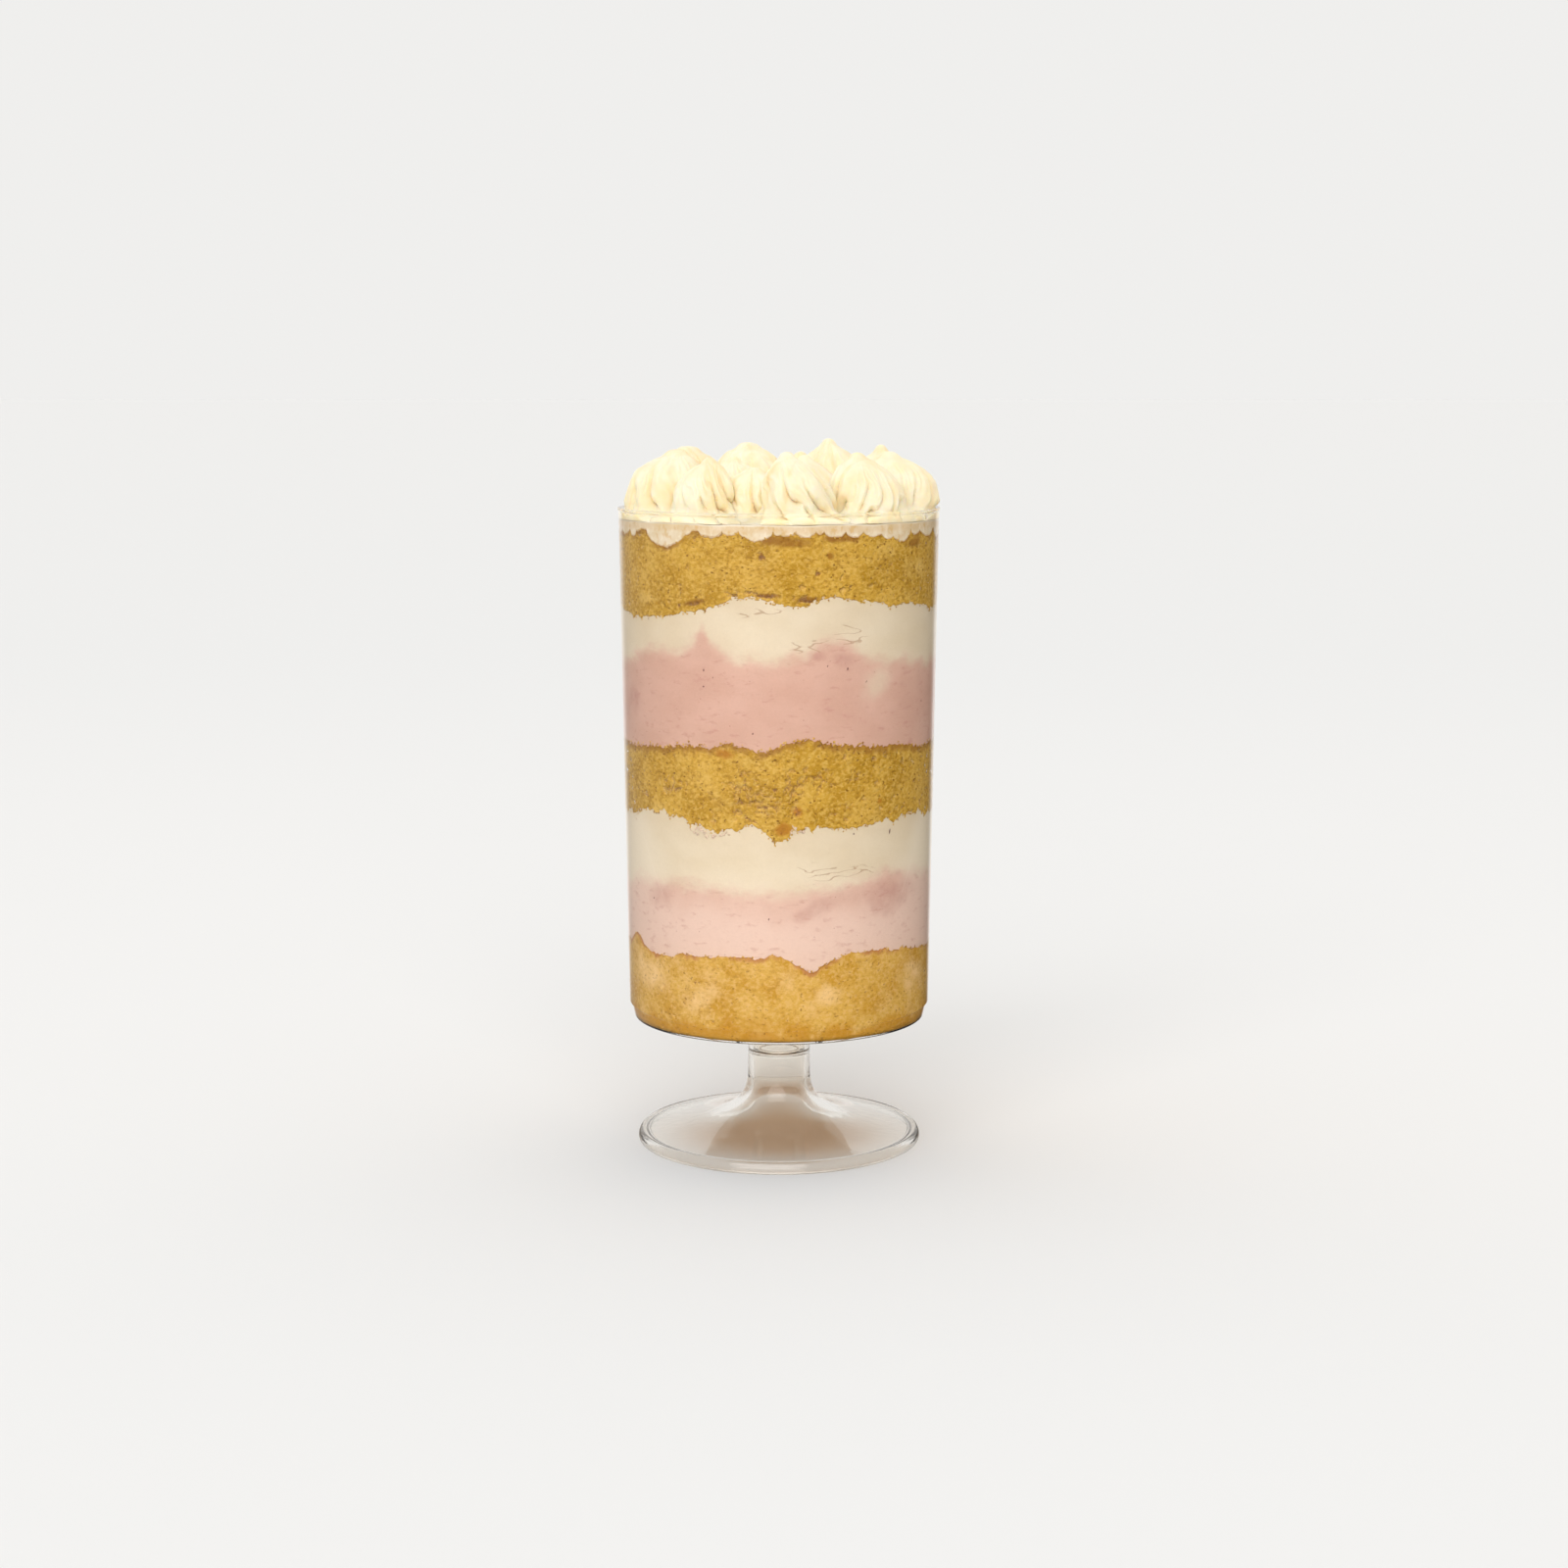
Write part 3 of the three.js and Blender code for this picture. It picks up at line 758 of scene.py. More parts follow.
SPONGE_ROWS = 84
SPONGE_PRESS = 0.45
floor_level = np.full(COLUMNS, FLOOR_TOP + 0.05)
crumb_depths = {
    "Pore Size": 6.0,
    "Pore Depth": 1.5,
    "Pin Depth": 0.7,
    "Grain Depth": 0.35,
    "Tear Depth": 0.7,
    "Hollow Depth": 1.0,
    "Crack Depth": 1.2,
}


def sponge_layer(level, lower, slot, finish, seed, changes, marks):
    """A round of sponge from the join under it, with changes to how deep its crumb is torn."""
    name = level + "_sponge"
    upper = join_of(f"sponge_{level}")
    start = layer(name + "_uncut", lower, upper, SPONGE_ROWS, finish, ease=0.5, press=SPONGE_PRESS)
    spotted(start, marks)
    sizes = {**crumb_depths, "Seed": seed, **changes}
    fitted(grown(name, open_crumb, sizes, finish, start), slot, f"sponge_{level}")


# Marks are (degrees from the front, height, width, tallness, lean).
sponge_layer(
    "bottom",
    (FLOOR_TOP + 0.05, floor_level),
    "soaked_sponge",
    sponge_finish("soaked_butter_sponge", WET_CRUMB, 2.8, (0.36, 0.56), 0.75, CRUMB_SOAKED, 0.6, CRUMB_BERRY),
    11,
    {"Pore Depth": 0.6, "Tear Depth": 0.15, "Pin Depth": 0.3, "Grain Depth": 0.2, "Crack Depth": 0.5},
    {
        "hollow": [(-33, 88, 2, 1.2, 20), (120, 84, 3, 2, 10), (215, 90, 4, 2, -15)],
        "torn": [(-22, 96, 8, 3, 10), (-34, 88, 5, 3, 0), (3, 92, 6, 4, -20), (150, 88, 9, 4, 0)],
        "stain": [],
        "pale": [(-58, 88, 26, 16, 0), (-30, 82, 16, 9, 30), (20, 84, 12, 9, 0), (60, 86, 22, 16, 0)],
    },
)
sponge_layer(
    "middle",
    join_of("cream_lower"),
    "sponge",
    sponge_finish("torn_butter_sponge", DRY_CRUMB, 4.6, (0.15, 0.4), 0.0, CRUMB_CRUST),
    23,
    {"Tear Depth": 1.0},
    {
        "hollow": [
            (-10, 164.5, 7, 1.6, -25), (-1.6, 178.4, 3.5, 1.4, -20), (27, 182, 3, 1.4, 20),
            (110, 176, 7, 2.5, 20), (205, 183, 6, 2, -20),
        ],
        "torn": [
            (-14, 176, 9, 24, -8), (-5, 172, 14, 14, 0), (5.5, 178, 9, 24, 5), (15, 183, 12, 8, 25),
            (-42, 178, 14, 10, 0), (110, 176, 20, 14, 10), (150, 170, 12, 18, 0), (205, 180, 18, 12, -20),
            (262, 176, 10, 18, 0),
        ],
        "stain": [
            (1.9, 160.5, 7, 6, 0), (7, 168.5, 4, 4, 0), (39.6, 171.3, 2.6, 2.2, 0), (-20, 194, 9, 4, -10),
        ],
        "pale": [(-50, 166, 10, 6, 0)],
    },
)
sponge_layer(
    "top",
    join_of("cream_upper"),
    "sponge",
    sponge_finish("fresh_butter_sponge", DRY_CRUMB, 3.4, (0.46, 0.6), 0.0, CRUMB_SOAKED),
    37,
    {},
    {
        "hollow": [
            (-31, 260.8, 8, 1.8, 8), (-5, 264.8, 9, 1.5, -4), (10, 262.6, 8, 1.5, 2), (190, 263, 9, 2, 5),
            (250, 261, 14, 2, -4),
        ],
        "torn": [(-8, 265, 26, 4, -3), (11, 263.5, 14, 4, 0), (26, 268, 8, 3, 10), (118, 263, 20, 4, 0)],
        "stain": [
            (18.3, 282.7, 3.4, 3.4, 0), (2, 289, 26, 5, -6), (21, 290, 16, 3, 0), (56, 287, 12, 4, 10),
            # The last three stains lie over the hollows at the lower edge and darken them as painted shade.
            (-31, 261.6, 12, 2.6, 10), (-4, 265.4, 12, 2.2, -4), (11, 263.6, 12, 2.4, 2),
        ],
        "pale": [(-55, 262, 14, 6, 0), (60, 276, 10, 8, 0)],
    },
)


# ---- Cream and mousse layers -----------------------------
# Whipped cream spooned over berry mousse while both were soft, so the two blur into each other. Berry
# seeds and fine air cracks show where they lie against the wall.

CREAM_ROWS = 44
CREAM = shade(222, 212, 192)
CREAM_DEEP = shade(216, 204, 181)
CREAM_WET = shade(228, 219, 201)
MOUSSE_PINK = shade(213, 179, 165)
MOUSSE_ROSE = shade(205, 169, 154)
MOUSSE_WET = shade(223, 199, 187)
ROSE_PATCH = shade(184, 140, 130)
WISP = shade(186, 138, 128)
SEED = shade(84, 40, 46)
GRIT = shade(140, 76, 70)
# Painted shade in the air cracks.
CRACK_SHADE = shade(150, 106, 72)
# Painted highlight along the edge of the wet zone.
MENISCUS_HIGHLIGHT = shade(236, 228, 214)
BLUR = 4.5  # millimetres either side of a join over which cream and mousse blend
JOIN_WANDER = 11


def soft_finish(name, wave, pink_share):
    """Whipped filling in soft clouds: cream, or mousse where the share given is 1. Both are paler where they
    wet the wall, with a painted highlight, a fine bright line, where that ends. Air cracks are painted
    darker as shade."""
    material, plan, place = new_finish(name)
    laid = plan.squashed(place, 1.7)
    clouds = plan.cloud(laid, wave, 3, 0.5).rise(0.25, 0.75)
    wet = plan.frayed("wet", place, 16, 24).rise(-26, 4)
    wisps = plan.cloud(plan.squashed(place, 2.4), 6, 4, 0.6)
    cream = plan.washed(CREAM, (clouds, CREAM_DEEP), (wet, CREAM_WET))
    mousse = plan.washed(
        MOUSSE_PINK,
        (clouds, MOUSSE_ROSE),
        (wet, MOUSSE_WET),
        (plan.frayed("rose", place, 6, 1.6).rise(0.0, 1.6) * 0.6, ROSE_PATCH),
        (wisps.rise(0.55, 0.72) * 0.42, WISP),
        (plan.frayed("blot", place, 9, 1.0).rise(0.1, 1.4) * 0.7, cream),
    )
    pinkness = pink_share(plan, laid)
    speckle = plan.cloud(place, 0.9, 2, 0.7)
    colour = plan.vector("SCALE", plan.between(pinkness, cream, mousse), 0.94 + 0.12 * speckle)
    creases = plan.math("ABSOLUTE", plan.cloud(plan.squashed(place, 3.6), 17, 2, 0.4) - 0.5)
    cracked = creases.rise(0.02, 0.008) * plan.frayed("crack", place, 4, 1.6, 2).rise(0.3, 0.7)
    seed = plan.spots(place, 8, (0.065, 0.035), (0.79, 0.83))
    grit = plan.spots(place, 2.6, (0.13, 0.05), (0.82, 0.92), "Y")
    wet_edge = plan.math("ABSOLUTE", plan.mark("wet")).rise(0.6, 0.2)
    colour = plan.washed(
        colour,
        # Air cracks painted darker as shade.
        (cracked * 0.45, CRACK_SHADE),
        (seed * pinkness * 0.85, SEED),
        (grit * (0.08 + 0.55 * pinkness), GRIT),
        (plan.mark("seed").rise(0.3, 0.7) * 0.9, SEED),
        # Painted highlight: a fine bright line along the edge of the wet zone, where meniscus is marked.
        (wet_edge * plan.mark("meniscus") * 0.4, MENISCUS_HIGHLIGHT),
    )
    height = speckle * 0.3 + wisps - cracked
    plan.show(plan.shader(colour, 0.55 + 0.1 * clouds, 0.25, height, (0.25, 0.0005)))
    return material


def pink_below(join_mark, side):
    """The share of mousse in the blend: 1 well below the join, along a line that wanders the same way seen
    from both fillings. side is 1 for a mark that grows upwards."""
    def share(plan, laid):
        above = plan.mark(join_mark) * side
        above = above + (plan.cloud(laid, 9, 4, 0.6) - 0.5) * JOIN_WANDER
        return above.rise(BLUR, -BLUR)

    return share


cream_finish = soft_finish("whipped_cream", 22, pink_below("over_join", 1))
mousse_finish = soft_finish("berry_mousse", 24, pink_below("under_join", -1))

TUCK = 0.8
# Spots are (degrees from the front, height, width, tallness, lean).
fillings = {
    "lower": ("sponge_bottom", wet_line, {
        "rose": [(-50, 126, 16, 12, 0), (46, 127, 30, 16, 5), (14, 124, 24, 8, 25), (140, 124, 26, 10, 0)],
        "blot": [(230, 120, 22, 8, 0)],
        "seed": [(-3.6, 119.5, 0.9, 0.9, 0), (45, 156.5, 0.8, 2.6, -10), (28.4, 157.3, 0.9, 0.9, 0)],
        "crack": [(24, 139, 30, 8, 0), (12, 142, 12, 6, 0)],
        # meniscus marks where the painted highlight along the wet line shows.
        "meniscus": [(-56, 142, 22, 46, -10), (58, 142, 22, 46, 10)],
    }),
    "upper": ("sponge_middle", -FAR, {
        "rose": [(23.8, 236, 11, 7, 0), (14, 238, 8, 4, 0), (-66, 215, 16, 12, 0), (168, 228, 20, 8, 0)],
        "blot": [(38, 225, 17, 12, 30), (132, 222, 16, 11, -20)],
        "seed": [
            (-27.5, 231.5, 1.0, 1.0, 0), (17.5, 234, 0.9, 0.9, 0), (25.2, 232, 0.9, 1.3, 0),
            (33, 226, 0.8, 1.0, 0), (-9.3, 203.5, 0.8, 0.8, 0), (-24, 228, 0.7, 0.7, 0),
            (64, 214, 0.8, 1.1, 0),
        ],
        "crack": [(26, 247, 16, 9, 5), (12, 242.6, 22, 6, 0), (-6, 257, 24, 5, 0)],
        "meniscus": [],
    }),
}
for level, (sponge, wetted, marks) in fillings.items():
    start, blend, end = (join_of(name) for name in (sponge, f"mousse_{level}", f"cream_{level}"))
    name = level + "_berry_mousse"
    mousse = layer(name, start, blend, CREAM_ROWS, mousse_finish, tuck_low=TUCK, wetted=wetted)
    fitted(mousse, "mousse", f"mousse_{level}")
    name = level + "_whipped_cream"
    cream = layer(name, blend, end, CREAM_ROWS, cream_finish, tuck_high=TUCK, wetted=wetted)
    fitted(cream, "cream", f"cream_{level}")
    spotted(mousse, marks)
    spotted(cream, marks)


# ---- Loose crumbs ----------------------------------------
# Crumbs that broke off the cut sponge and were caught against the wall along the joins, and flecks of
# cream smeared over the torn sponge.

GRAIN_PRESS = 0.35  # how far a crumb's middle is pressed past the wall's inside
FULL_TURN = 6.28


def grain_tree():
    """Sets a lumpy grain on every point of the base, each sized, turned and dented by chance."""
    tree, plan, given = new_growth("caught_grains", ("Smallest", "Largest", "Dents"))
    ball = plan.node("GeometryNodeMeshIcoSphere", {"Radius": 0.5 * MM, "Subdivisions": 2})

    def drawn(least, most, seed):
        inputs = {"Min": least, "Max": most, "Seed": seed}
        return plan.node("FunctionNodeRandomValue", inputs, data_type="FLOAT_VECTOR")

    least, most = (plan.joined(*[given[label]] * 3) for label in ("Smallest", "Largest"))
    turn = drawn((0, 0, 0), (FULL_TURN, FULL_TURN, FULL_TURN), 5)
    placed = plan.node("GeometryNodeInstanceOnPoints", {
        "Points": given["Geometry"],
        "Instance": ball,
        "Rotation": plan.node("FunctionNodeEulerToRotation", {"Euler": turn}),
        "Scale": drawn(least, most, 3),
    })
    real = plan.node("GeometryNodeRealizeInstances", {"Geometry": placed})
    place = plan.vector("SCALE", plan.node("GeometryNodeInputPosition"), 1 / MM)
    offset = plan.push(place, 0.5, given["Dents"] * MM)
    dented = plan.node("GeometryNodeSetPosition", {"Geometry": real, "Offset": offset})
    end_growth(plan, given, dented)
    return tree


caught_grains = grain_tree()


def along(strips, seed):
    """Points against the wall, strewn over strips of (join, count, lowest, highest, start, end), the heights
    measured from the join and the angles in degrees from the front."""
    chance = np.random.default_rng(seed)
    points = []
    for name, count, lowest, highest, start, end in strips:
        turn = np.radians(chance.uniform(start, end, count))
        columns = np.round(turn / angles[1]).astype(int) % COLUMNS
        heights = edges[name][columns] + chance.uniform(lowest, highest, count)
        radius = wall_inside(heights) + GRAIN_PRESS
        points += round_axis(turn, radius, heights).tolist()
    return points


def crumb_finish():
    material, plan, place = new_finish("loose_crumb")
    tone = plan.cloud(place, 2.2, 2, 0.6)
    gold, straw = DRY_CRUMB[1:]
    shares = (tone.rise(0.35, 0.5), gold), (tone.rise(0.55, 0.65), straw)
    plan.show(plan.shader(plan.washed(CRUMB_SOAKED, *shares), 0.85))
    return material


def strewn(name, strips, seed, least, most, dents, finish, slot):
    start = new_piece(name + "_points", along(strips, seed), [])
    sizes = {"Smallest": least, "Largest": most, "Dents": dents}
    fitted(grown(name, caught_grains, sizes, finish, start), slot)


crumb_strips = [
    ("sponge_middle", 420, -0.8, 1.0, -180, 180),
    ("sponge_bottom", 240, -0.6, 0.6, -180, 180),
    ("cream_lower", 240, -0.9, 0.5, -180, 180),
    ("cream_upper", 260, -0.9, 0.6, -180, 180),
    ("sponge_top", 160, -0.8, 0.4, -180, 180),
]
fleck_strips = [
    ("cream_lower", 26, -4.0, 0.4, -34, -18),
    ("cream_lower", 10, -1.5, 2.5, 4, 12),
    ("cream_lower", 40, -2.5, 1.5, 60, 300),
]
strewn("loose_crumbs", crumb_strips, 5, 0.3, 1.1, 0.9, crumb_finish(), "sponge")
strewn("cream_flecks", fleck_strips, 8, 0.5, 1.6, 1.2, cream_finish, "cream")


# ---- Cream bed -------------------------------------------
# A last spreading of whipped cream over the top sponge, for the rosettes to stand on. It hangs over the
# sponge in tongues where it was pressed against the wall.

BED_TOP = 296
BED_ROWS = 24
bed_edge = BED_TOP + 0.3 + 0.35 * wander(12, 61)


def bed_finish():
    """Whipped cream in soft clouds, painted tan along its folds and paler between them as shade and light.
    Its lower edge is browned by syrup drawn from the sponge and by painted shade, a band under its top is
    painted shade, and its top edge where it wets the wall is a painted highlight."""
    material, plan, place = new_finish("spread_cream")
    clouds = plan.cloud(place, 8, 3)
    folds = plan.cloud(plan.squashed(place, 0.7), 3.2, 3, 0.6)
    colour = plan.washed(
        shade(231, 222, 203),
        (clouds.rise(0.3, 0.7), shade(219, 205, 175)),
        # Painted shade and light following the folds.
        (folds.rise(0.52, 0.68) * 0.6, shade(206, 172, 108)),
        (folds.rise(0.46, 0.34) * 0.7, shade(240, 234, 220)),
        # Syrup and painted shade: browner along the lower edge, under the tongues.
        (plan.frayed("over_join", place, 2.5, 1.2, 2).rise(0.6, 0.0) * 0.5, shade(176, 132, 66)),
        # Painted shade: a yellowish band just under the top.
        (plan.frayed("under_join", place, 5, 2, 2).rise(4.5, 2.5) * 0.28, shade(206, 166, 92)),
        # Painted highlight: a bright line along the top edge, where it wets the wall.
        (plan.mark("under_join").rise(0.9, 0.4) * 0.8, shade(234, 228, 214)),
    )
    plan.show(plan.shader(colour, 0.45 + 0.15 * clouds, 0.3, folds, (0.4, 0.0006)))
    return material


bed_ends = join_of("sponge_top"), (BED_TOP, bed_edge)
bed = layer("spread_cream_bed", *bed_ends, BED_ROWS, bed_finish(), tuck_low=TUCK, ease=0.3)
fitted(bed, "cream", "cream_bed")


# ---- Rosettes --------------------------------------------
# Thirteen stars of stiff whipped cream piped from a large star nozzle: nine in a ring inside the rim and
# four within it. Each was pressed against its neighbours, and its nib drawn off to a side.

WAIST = 0.24  # share of the height at which a rosette stands straight above its spread foot
# Nine in the ring, then the four within it, as (degrees from the front, out from the middle, radius,
# height, sweep, petals, how pointed, nib's drift).
rosettes = [
    (10, 54, 17.2, 31.4, 1.2, 9, 0.35, (-6, 2)),
    (47, 54, 18.4, 31, -0.6, 13, 0.4, (-4, 3)),
    (84, 55, 20.8, 30.6, -0.5, 12, 0.2, (-4, -1)),
    (117, 54, 19.4, 32.9, 0.5, 10, 0.7, (0, 0)),
    (154, 54.5, 20.4, 35.4, 0.7, 9, 0.6, (0, 0)),
    (196, 53.5, 20.4, 33.4, 0.45, 9, 0, (0, 0)),
    (238, 54, 21.2, 32.2, 0.7, 8, 0, (3, 0)),
    (286, 53, 20.6, 31.8, 0.5, 9, 0.1, (4, 1)),
    (322, 53.5, 15.8, 28.6, 1.1, 9, 0.3, (2, 2)),
    (341, 37, 17.4, 24, 0.5, 8, 0.1, (1, 2)),
    (35, 20, 19.6, 29, 0.6, 10, 0.5, (0, 0)),
    (150, 20, 19.6, 30, 0.6, 10, 0.5, (0, 0)),
    (268, 21, 19.6, 28, 0.5, 9, 0.5, (0, 0)),
]


ROSETTE_SIZES = "Radius", "Height", "Sweep", "Petals", "Point", "Drift X", "Drift Y", "Seed", "Fold", "Crease"
FOLD = 0.19
CREASE = 0.14


def rosette_tree():
    """One piped star: a dome of petals that lean one way over soft valleys, on a foot that spreads, with its
    top drawn off to a nib."""
    tree, plan, given = new_growth("piped_rosette", ROSETTE_SIZES)
    counts = {"Vertices": 224, "Side Segments": 100, "Fill Segments": 1, "Radius": 1.0, "Depth": 1.0}
    blank = plan.node("GeometryNodeMeshCylinder", counts, fill_type="TRIANGLE_FAN")
    position = plan.node("GeometryNodeInputPosition")
    parts = plan.parts(position)
    across = plan.math("MINIMUM", plan.out_from_axis(parts), 1.0)
    angle = plan.math("ARCTAN2", parts["Y"], parts["X"])
    share = plan.math("MINIMUM", plan.math("MAXIMUM", parts["Z"] + 0.5, 0.0), 1.0)
    share = 1 - (1 - share) ** 1.25
    climb = plan.math("MAXIMUM", (share - WAIST) / (1 - WAIST), 0.0)
    dip = plan.math("MAXIMUM", 1 - share / WAIST, 0.0)
    dome = plan.math("MAXIMUM", 1 - climb * climb, 0.0) ** (0.44 + 0.18 * given["Point"])
    girth = dome * (1 - 0.3 * given["Point"] * climb.rise(0.5, 0.97)) + 0.8 * dip**2
    cosine, sine = plan.math("COSINE", angle), plan.math("SINE", angle)
    seeded = plan.joined(cosine * girth, sine * girth, share * 1.4 + given["Seed"] * 5.7)
    round_about = plan.joined(cosine, sine, given["Seed"] * 3.3 + share * 0.3)
    wobble = plan.cloud(seeded, 0.9, 1) - 0.5
    lumps = plan.cloud(seeded, 0.42, 2) - 0.5
    uneven = plan.cloud(round_about, 0.6, 1)
    swept = angle - given["Sweep"] * (1 - share) ** 2.2 + wobble * 0.6 + (uneven - 0.5) * 1.1
    lean = plan.math("SIGN", given["Sweep"])
    turns = swept * given["Petals"] * lean / (2 * math.pi)
    tooth = plan.math("FRACT", turns)
    crest = plan.math("MINIMUM", tooth / 0.3, (1 - tooth) / 0.7) ** 0.65
    valley = 1 - crest
    strong = (uneven + lumps * 0.5 + wobble * 0.4).rise(0.36, 0.62)
    low = share.rise(0.98, 0.2)
    folds = valley * given["Fold"] * (0.3 + 0.7 * low) * (0.3 + 0.9 * strong)
    creases = valley**4 * given["Crease"] * low * strong
    fine_turn = plan.math("SINE", swept * given["Petals"] * 3 + wobble * 7)
    fine = fine_turn * share.rise(0.1, 0.7) * 0.02
    relief = 1 + wobble * 0.22 + lumps * 0.09 + fine - folds - creases
    pit = plan.spots(plan.squashed(seeded, 1.2), 0.5, (0.15, 0.06), (0.84, 0.88))
    pit = pit * share.rise(0.6, 0.35)
    relief = relief - pit * 0.07
    tip = 0.045 * (1 - share.rise(0.97, 1.0)) + 0.02
    radius = plan.math("MAXIMUM", girth * relief, tip) * across * given["Radius"] * MM
    drift = share**3 * MM
    drawn_up = share * 0.93 + 0.07 * share.rise(0.95, 1.0) ** 2
    lifted = (drawn_up + lumps * 0.07 * share.rise(0.15, 0.5)) * given["Height"] * MM
    across, ahead = cosine * radius + drift * given["Drift X"], sine * radius + drift * given["Drift Y"]
    moved = plan.joined(across, ahead, lifted)
    shaped = plan.node("GeometryNodeSetPosition", {"Geometry": blank, "Position": moved})
    fading = share.rise(1.0, 0.8)
    for label, value in (
        ("valley", valley * strong * fading),
        ("crease", creases / given["Crease"] * fading),
        ("pit", pit),
        ("foot", share.rise(0.5, 0.1)),
    ):
        shaped = labelled(plan, shaped, label, value)
    end_growth(plan, given, shaped)
    return tree


def piped_finish():
    """Stiff whipped cream in ivory, with painted shade: warm yellow in the valleys and towards the foot,
    darker in the creases and in a few air holes.
    """
    material, plan, place = new_finish("piped_cream")
    clouds = plan.cloud(place, 11, 2)
    foot = plan.mark("foot")
    # Painted shade: warm yellow in the valleys, deepest towards the foot.
    butter_shade = plan.mark("valley") * (0.35 + 0.65 * foot) + foot * 0.6
    butter_shade = butter_shade * clouds.rise(0.22, 0.52)
    # Painted shade: warmer towards the foot.
    warm = foot * plan.cloud(place, 10, 2).rise(0.4, 0.6)
    colour = plan.washed(
        shade(251, 239, 210),
        (clouds.rise(0.3, 0.7), shade(249, 231, 192)),
        (plan.math("MINIMUM", butter_shade, 1.0), shade(247, 208, 126)),
        (warm * 0.85, shade(244, 202, 116)),
        # Painted shade in the creases.
        (plan.mark("crease").rise(0.25, 0.9) * 0.7, shade(210, 156, 76)),
        # Painted shade in the air holes.
        (plan.mark("pit") * 0.8, shade(196, 132, 56)),
    )
    height = plan.cloud(place, 1.8, 3, 0.6)
    glow = {"Subsurface Weight": 0.55, "Subsurface Radius": (1.0, 0.75, 0.42), "Subsurface Scale": 0.005}
    plan.show(plan.shader(colour, 0.45 + 0.15 * clouds, 0.35, height, (0.2, 0.0006), **glow))
    return material


piped_rosette = rosette_tree()
piped_cream = piped_finish()
SOFTNESS = 1.7  # millimetres over which a pressed side rounds into the free one
OVERLAP = 0.5  # how far pressed sides sink into each other
RIM_LAP = 6  # how far a rosette may spread over the rim
ABOVE_RIM = 3  # height above the rim at which the wall no longer holds a rosette in
SIDEWAYS = 0.05  # a neighbour that lies less than this far ahead leaves the way free
CORE = 1.5  # radius of the middle that stays as it was piped
middles = [(round_axis(math.radians(at), out, 0)[0, :2], radius) for at, out, radius, *_ in rosettes]


def pressed(spread, limit):
    """A distance from a rosette's middle, held softly within a limit."""
    return -SOFTNESS * np.logaddexp(-spread / SOFTNESS, -limit / SOFTNESS)


def room_beside(centre, radius, way, level):
    """How far a rosette may spread each way before it meets its neighbours or, low down, the wall."""
    room = np.full(len(way), FAR)
    for other, other_radius in middles:
        gap = other - centre
        apart = np.linalg.norm(gap)
        if apart > 1:
            facing = way @ gap / apart
            border = (apart**2 + radius**2 - other_radius**2) / (2 * apart) + OVERLAP + SOFTNESS * 0.5
            limit = np.where(facing > SIDEWAYS, border / np.maximum(facing, SIDEWAYS), FAR)
            room = np.minimum(room, limit)
    along_way = way @ centre
    wall = wall_inside(RIM_TOP) + SOFTNESS * 0.25
    to_wall = np.sqrt(np.maximum(along_way**2 - centre @ centre + wall**2, 0)) - along_way
    to_wall += RIM_LAP * np.clip((level - RIM_TOP) / ABOVE_RIM, 0, 1) ** 1.5
    return np.minimum(room, np.where(level > RIM_TOP + ABOVE_RIM, FAR, to_wall))


for index, (_, _, radius, *form, drift) in enumerate(rosettes):
    measures = (radius, *form, *drift, index + 1, FOLD, CREASE)
    sizes = dict(zip(ROSETTE_SIZES, measures))
    piece = grown(f"piped_rosette_{index + 1:02d}", piped_rosette, sizes, piped_cream)
    centre = middles[index][0]
    points = places_of(piece)
    spread = np.maximum(np.hypot(points[:, 0], points[:, 1]), 1e-6)
    way = points[:, :2] / spread[:, None]
    points[:, 2] += BED_TOP + CLEARANCE
    room = room_beside(centre, radius, way, points[:, 2])
    held = np.where(room < FAR / 2, pressed(spread, room), spread)
    core = np.clip(spread / CORE, 0, 1)
    held = np.minimum(held, spread) * core + spread * (1 - core)
    points[:, :2] = way * np.maximum(held, 0)[:, None] + centre
    piece.data.vertices.foreach_set("co", (points * MM).astype(np.float32).ravel())
    piece.data.update()
    fitted(piece, "piped_cream", f"rosette_{index + 1:02d}")


# ---- Table, light and camera -----------------------------
# A plain pale table that runs out of sight, painted darker where the bowl reflects it (painted shade),
# one broad soft light high in front and a little to the left, and pale surroundings that are brightest
# behind.

HALF_TABLE = 60000
TABLE = (0.785, 0.792, 0.79, 1)
TABLE_PALER = (0.795, 0.8, 0.798, 1)
TABLE_FAR = (0.753, 0.765, 0.767, 1)  # as pale as the backdrop, so that no horizon shows
# Painted reflection: the table as the plastic reflects it is painted dark as shade, darkest on the right,
# pale behind.
SHADED_MIRROR_LEFT = (0.34, 0.32, 0.3, 1)
SHADED_MIRROR_RIGHT = (0.05, 0.045, 0.04, 1)
LIT_MIRROR_BEHIND = (0.87, 0.86, 0.85, 1)
material, plan, place = new_finish("pale_table")
parts = plan.parts(place)
behind = parts["Y"] / plan.math("MAXIMUM", plan.math("ABSOLUTE", parts["X"]), 1.0)
painted_mirror = plan.washed(
    SHADED_MIRROR_LEFT,
    (parts["X"].rise(-200, 200), SHADED_MIRROR_RIGHT),
    (behind.rise(1.3, 2.5), LIT_MIRROR_BEHIND),
)
ray = plan.node("ShaderNodeLightPath")
colour = plan.washed(
    TABLE,
    (plan.cloud(place, 300, 2), TABLE_PALER),
    (parts["Y"].rise(0, 2600), TABLE_FAR),
    # Rays reflected off the plastic see the table's painted shade and light.
    (ray["Is Glossy Ray"] - ray["Is Transmission Ray"], painted_mirror),
)
plan.show(plan.shader(colour, 0.8, 0.1))
corners = [(x * HALF_TABLE, y * HALF_TABLE, 0) for x, y in ((-1, -1), (1, -1), (1, 1), (-1, 1))]
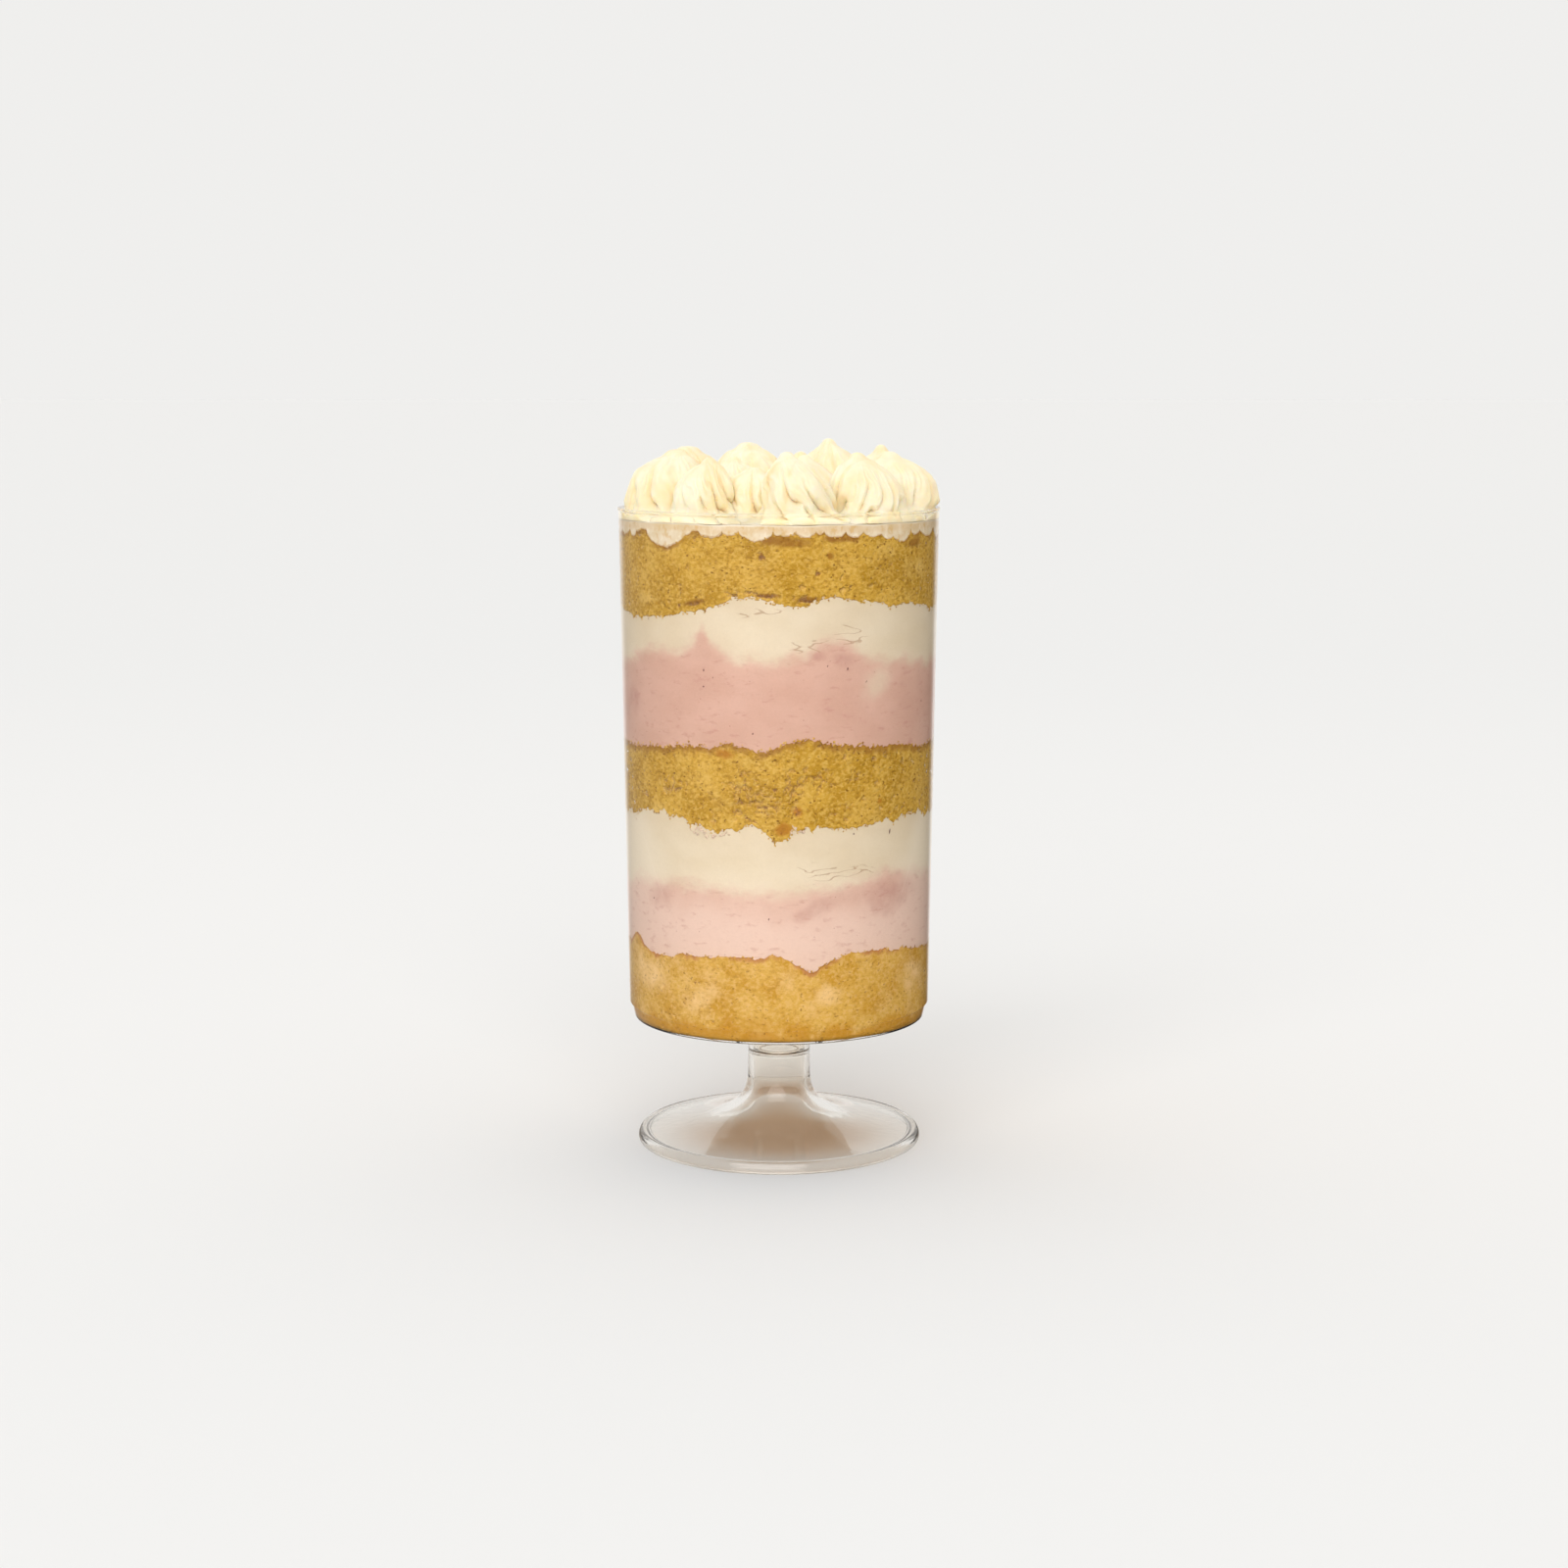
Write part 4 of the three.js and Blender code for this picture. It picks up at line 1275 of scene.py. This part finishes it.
table = new_piece("table", corners, [(0, 1, 2, 3)], material)

KEY_AZIMUTH = math.radians(-9)
KEY_ELEVATION = math.radians(30)
KEY_SPREAD = math.radians(60)
KEY_STRENGTH = 1.82
KEY_COLOUR = (1, 0.962, 0.941)
key = bpy.data.lights.new("key_light", "SUN")
key.energy = KEY_STRENGTH
key.angle = KEY_SPREAD
key.color = KEY_COLOUR
key_light = in_scene("key_light", key)
towards_key = round_axis(KEY_AZIMUTH, math.cos(KEY_ELEVATION), math.sin(KEY_ELEVATION))[0]
key_light.rotation_euler = Vector(towards_key).to_track_quat("Z", "Y").to_euler()

BACKDROP = (0.868, 0.862, 0.848)
CEILING = (0.60, 0.71, 0.79)
BACK_WALL = (1.05, 0.80, 0.58)
LEFT_WALL = (0.30, 0.34, 0.40)
RIGHT_WALL = (0.36, 0.23, 0.13)
world = bpy.data.worlds.new("pale_room")
world.use_nodes = True
bpy.context.scene.world = world
plan = Plan(world.node_tree)
direction = plan.parts(plan.node("ShaderNodeTexCoord")["Generated"])
upward = direction["Z"].rise(-0.05, 0.95)
leftward = direction["X"].rise(0.9, -0.9)
backward = direction["Y"].rise(-0.2, 0.9)
room = plan.vector("SCALE", CEILING, upward)
walls = {
    BACK_WALL: backward,
    LEFT_WALL: direction["X"].rise(-0.2, -0.9),
    RIGHT_WALL: direction["X"].rise(0.2, 0.9),
}
for wall, share in walls.items():
    room = plan.vector("ADD", room, plan.vector("SCALE", wall, share))
ray = plan.node("ShaderNodeLightPath")
shine = 0.1 + 0.2 * leftward + 0.75 * backward + 0.15 * upward
seen = plan.math("MAXIMUM", ray["Is Camera Ray"], ray["Is Transmission Ray"])
shown = (ray["Is Glossy Ray"], plan.vector("SCALE", BACKDROP, shine)), (seen, (*BACKDROP, 1))
colour = plan.washed(room, *shown)
backdrop = plan.node("ShaderNodeBackground", {"Color": colour, "Strength": 1.0})
plan.node("ShaderNodeOutputWorld", {"Surface": backdrop})

CAMERA_DISTANCE = 1.2974
CAMERA_HEIGHT = 0.3583
CAMERA_PITCH = 8.219  # degrees down
CAMERA_ASIDE = 0.0024
LENS = 63.8
SENSOR = 36
camera_data = bpy.data.cameras.new("camera")
camera_data.sensor_width = SENSOR
camera_data.lens = LENS
camera_data.clip_end = 500
camera = in_scene("camera", camera_data)
camera.location = (CAMERA_ASIDE, -CAMERA_DISTANCE, CAMERA_HEIGHT)
camera.rotation_euler = (math.radians(90 - CAMERA_PITCH), 0, 0)
bpy.context.scene.camera = camera
bpy.context.scene.view_settings.view_transform = "Standard"
cycles = bpy.context.scene.cycles  # light turns back and forth in the thick plastic of the base
cycles.max_bounces = 24
cycles.glossy_bounces = 16
cycles.transmission_bounces = 24
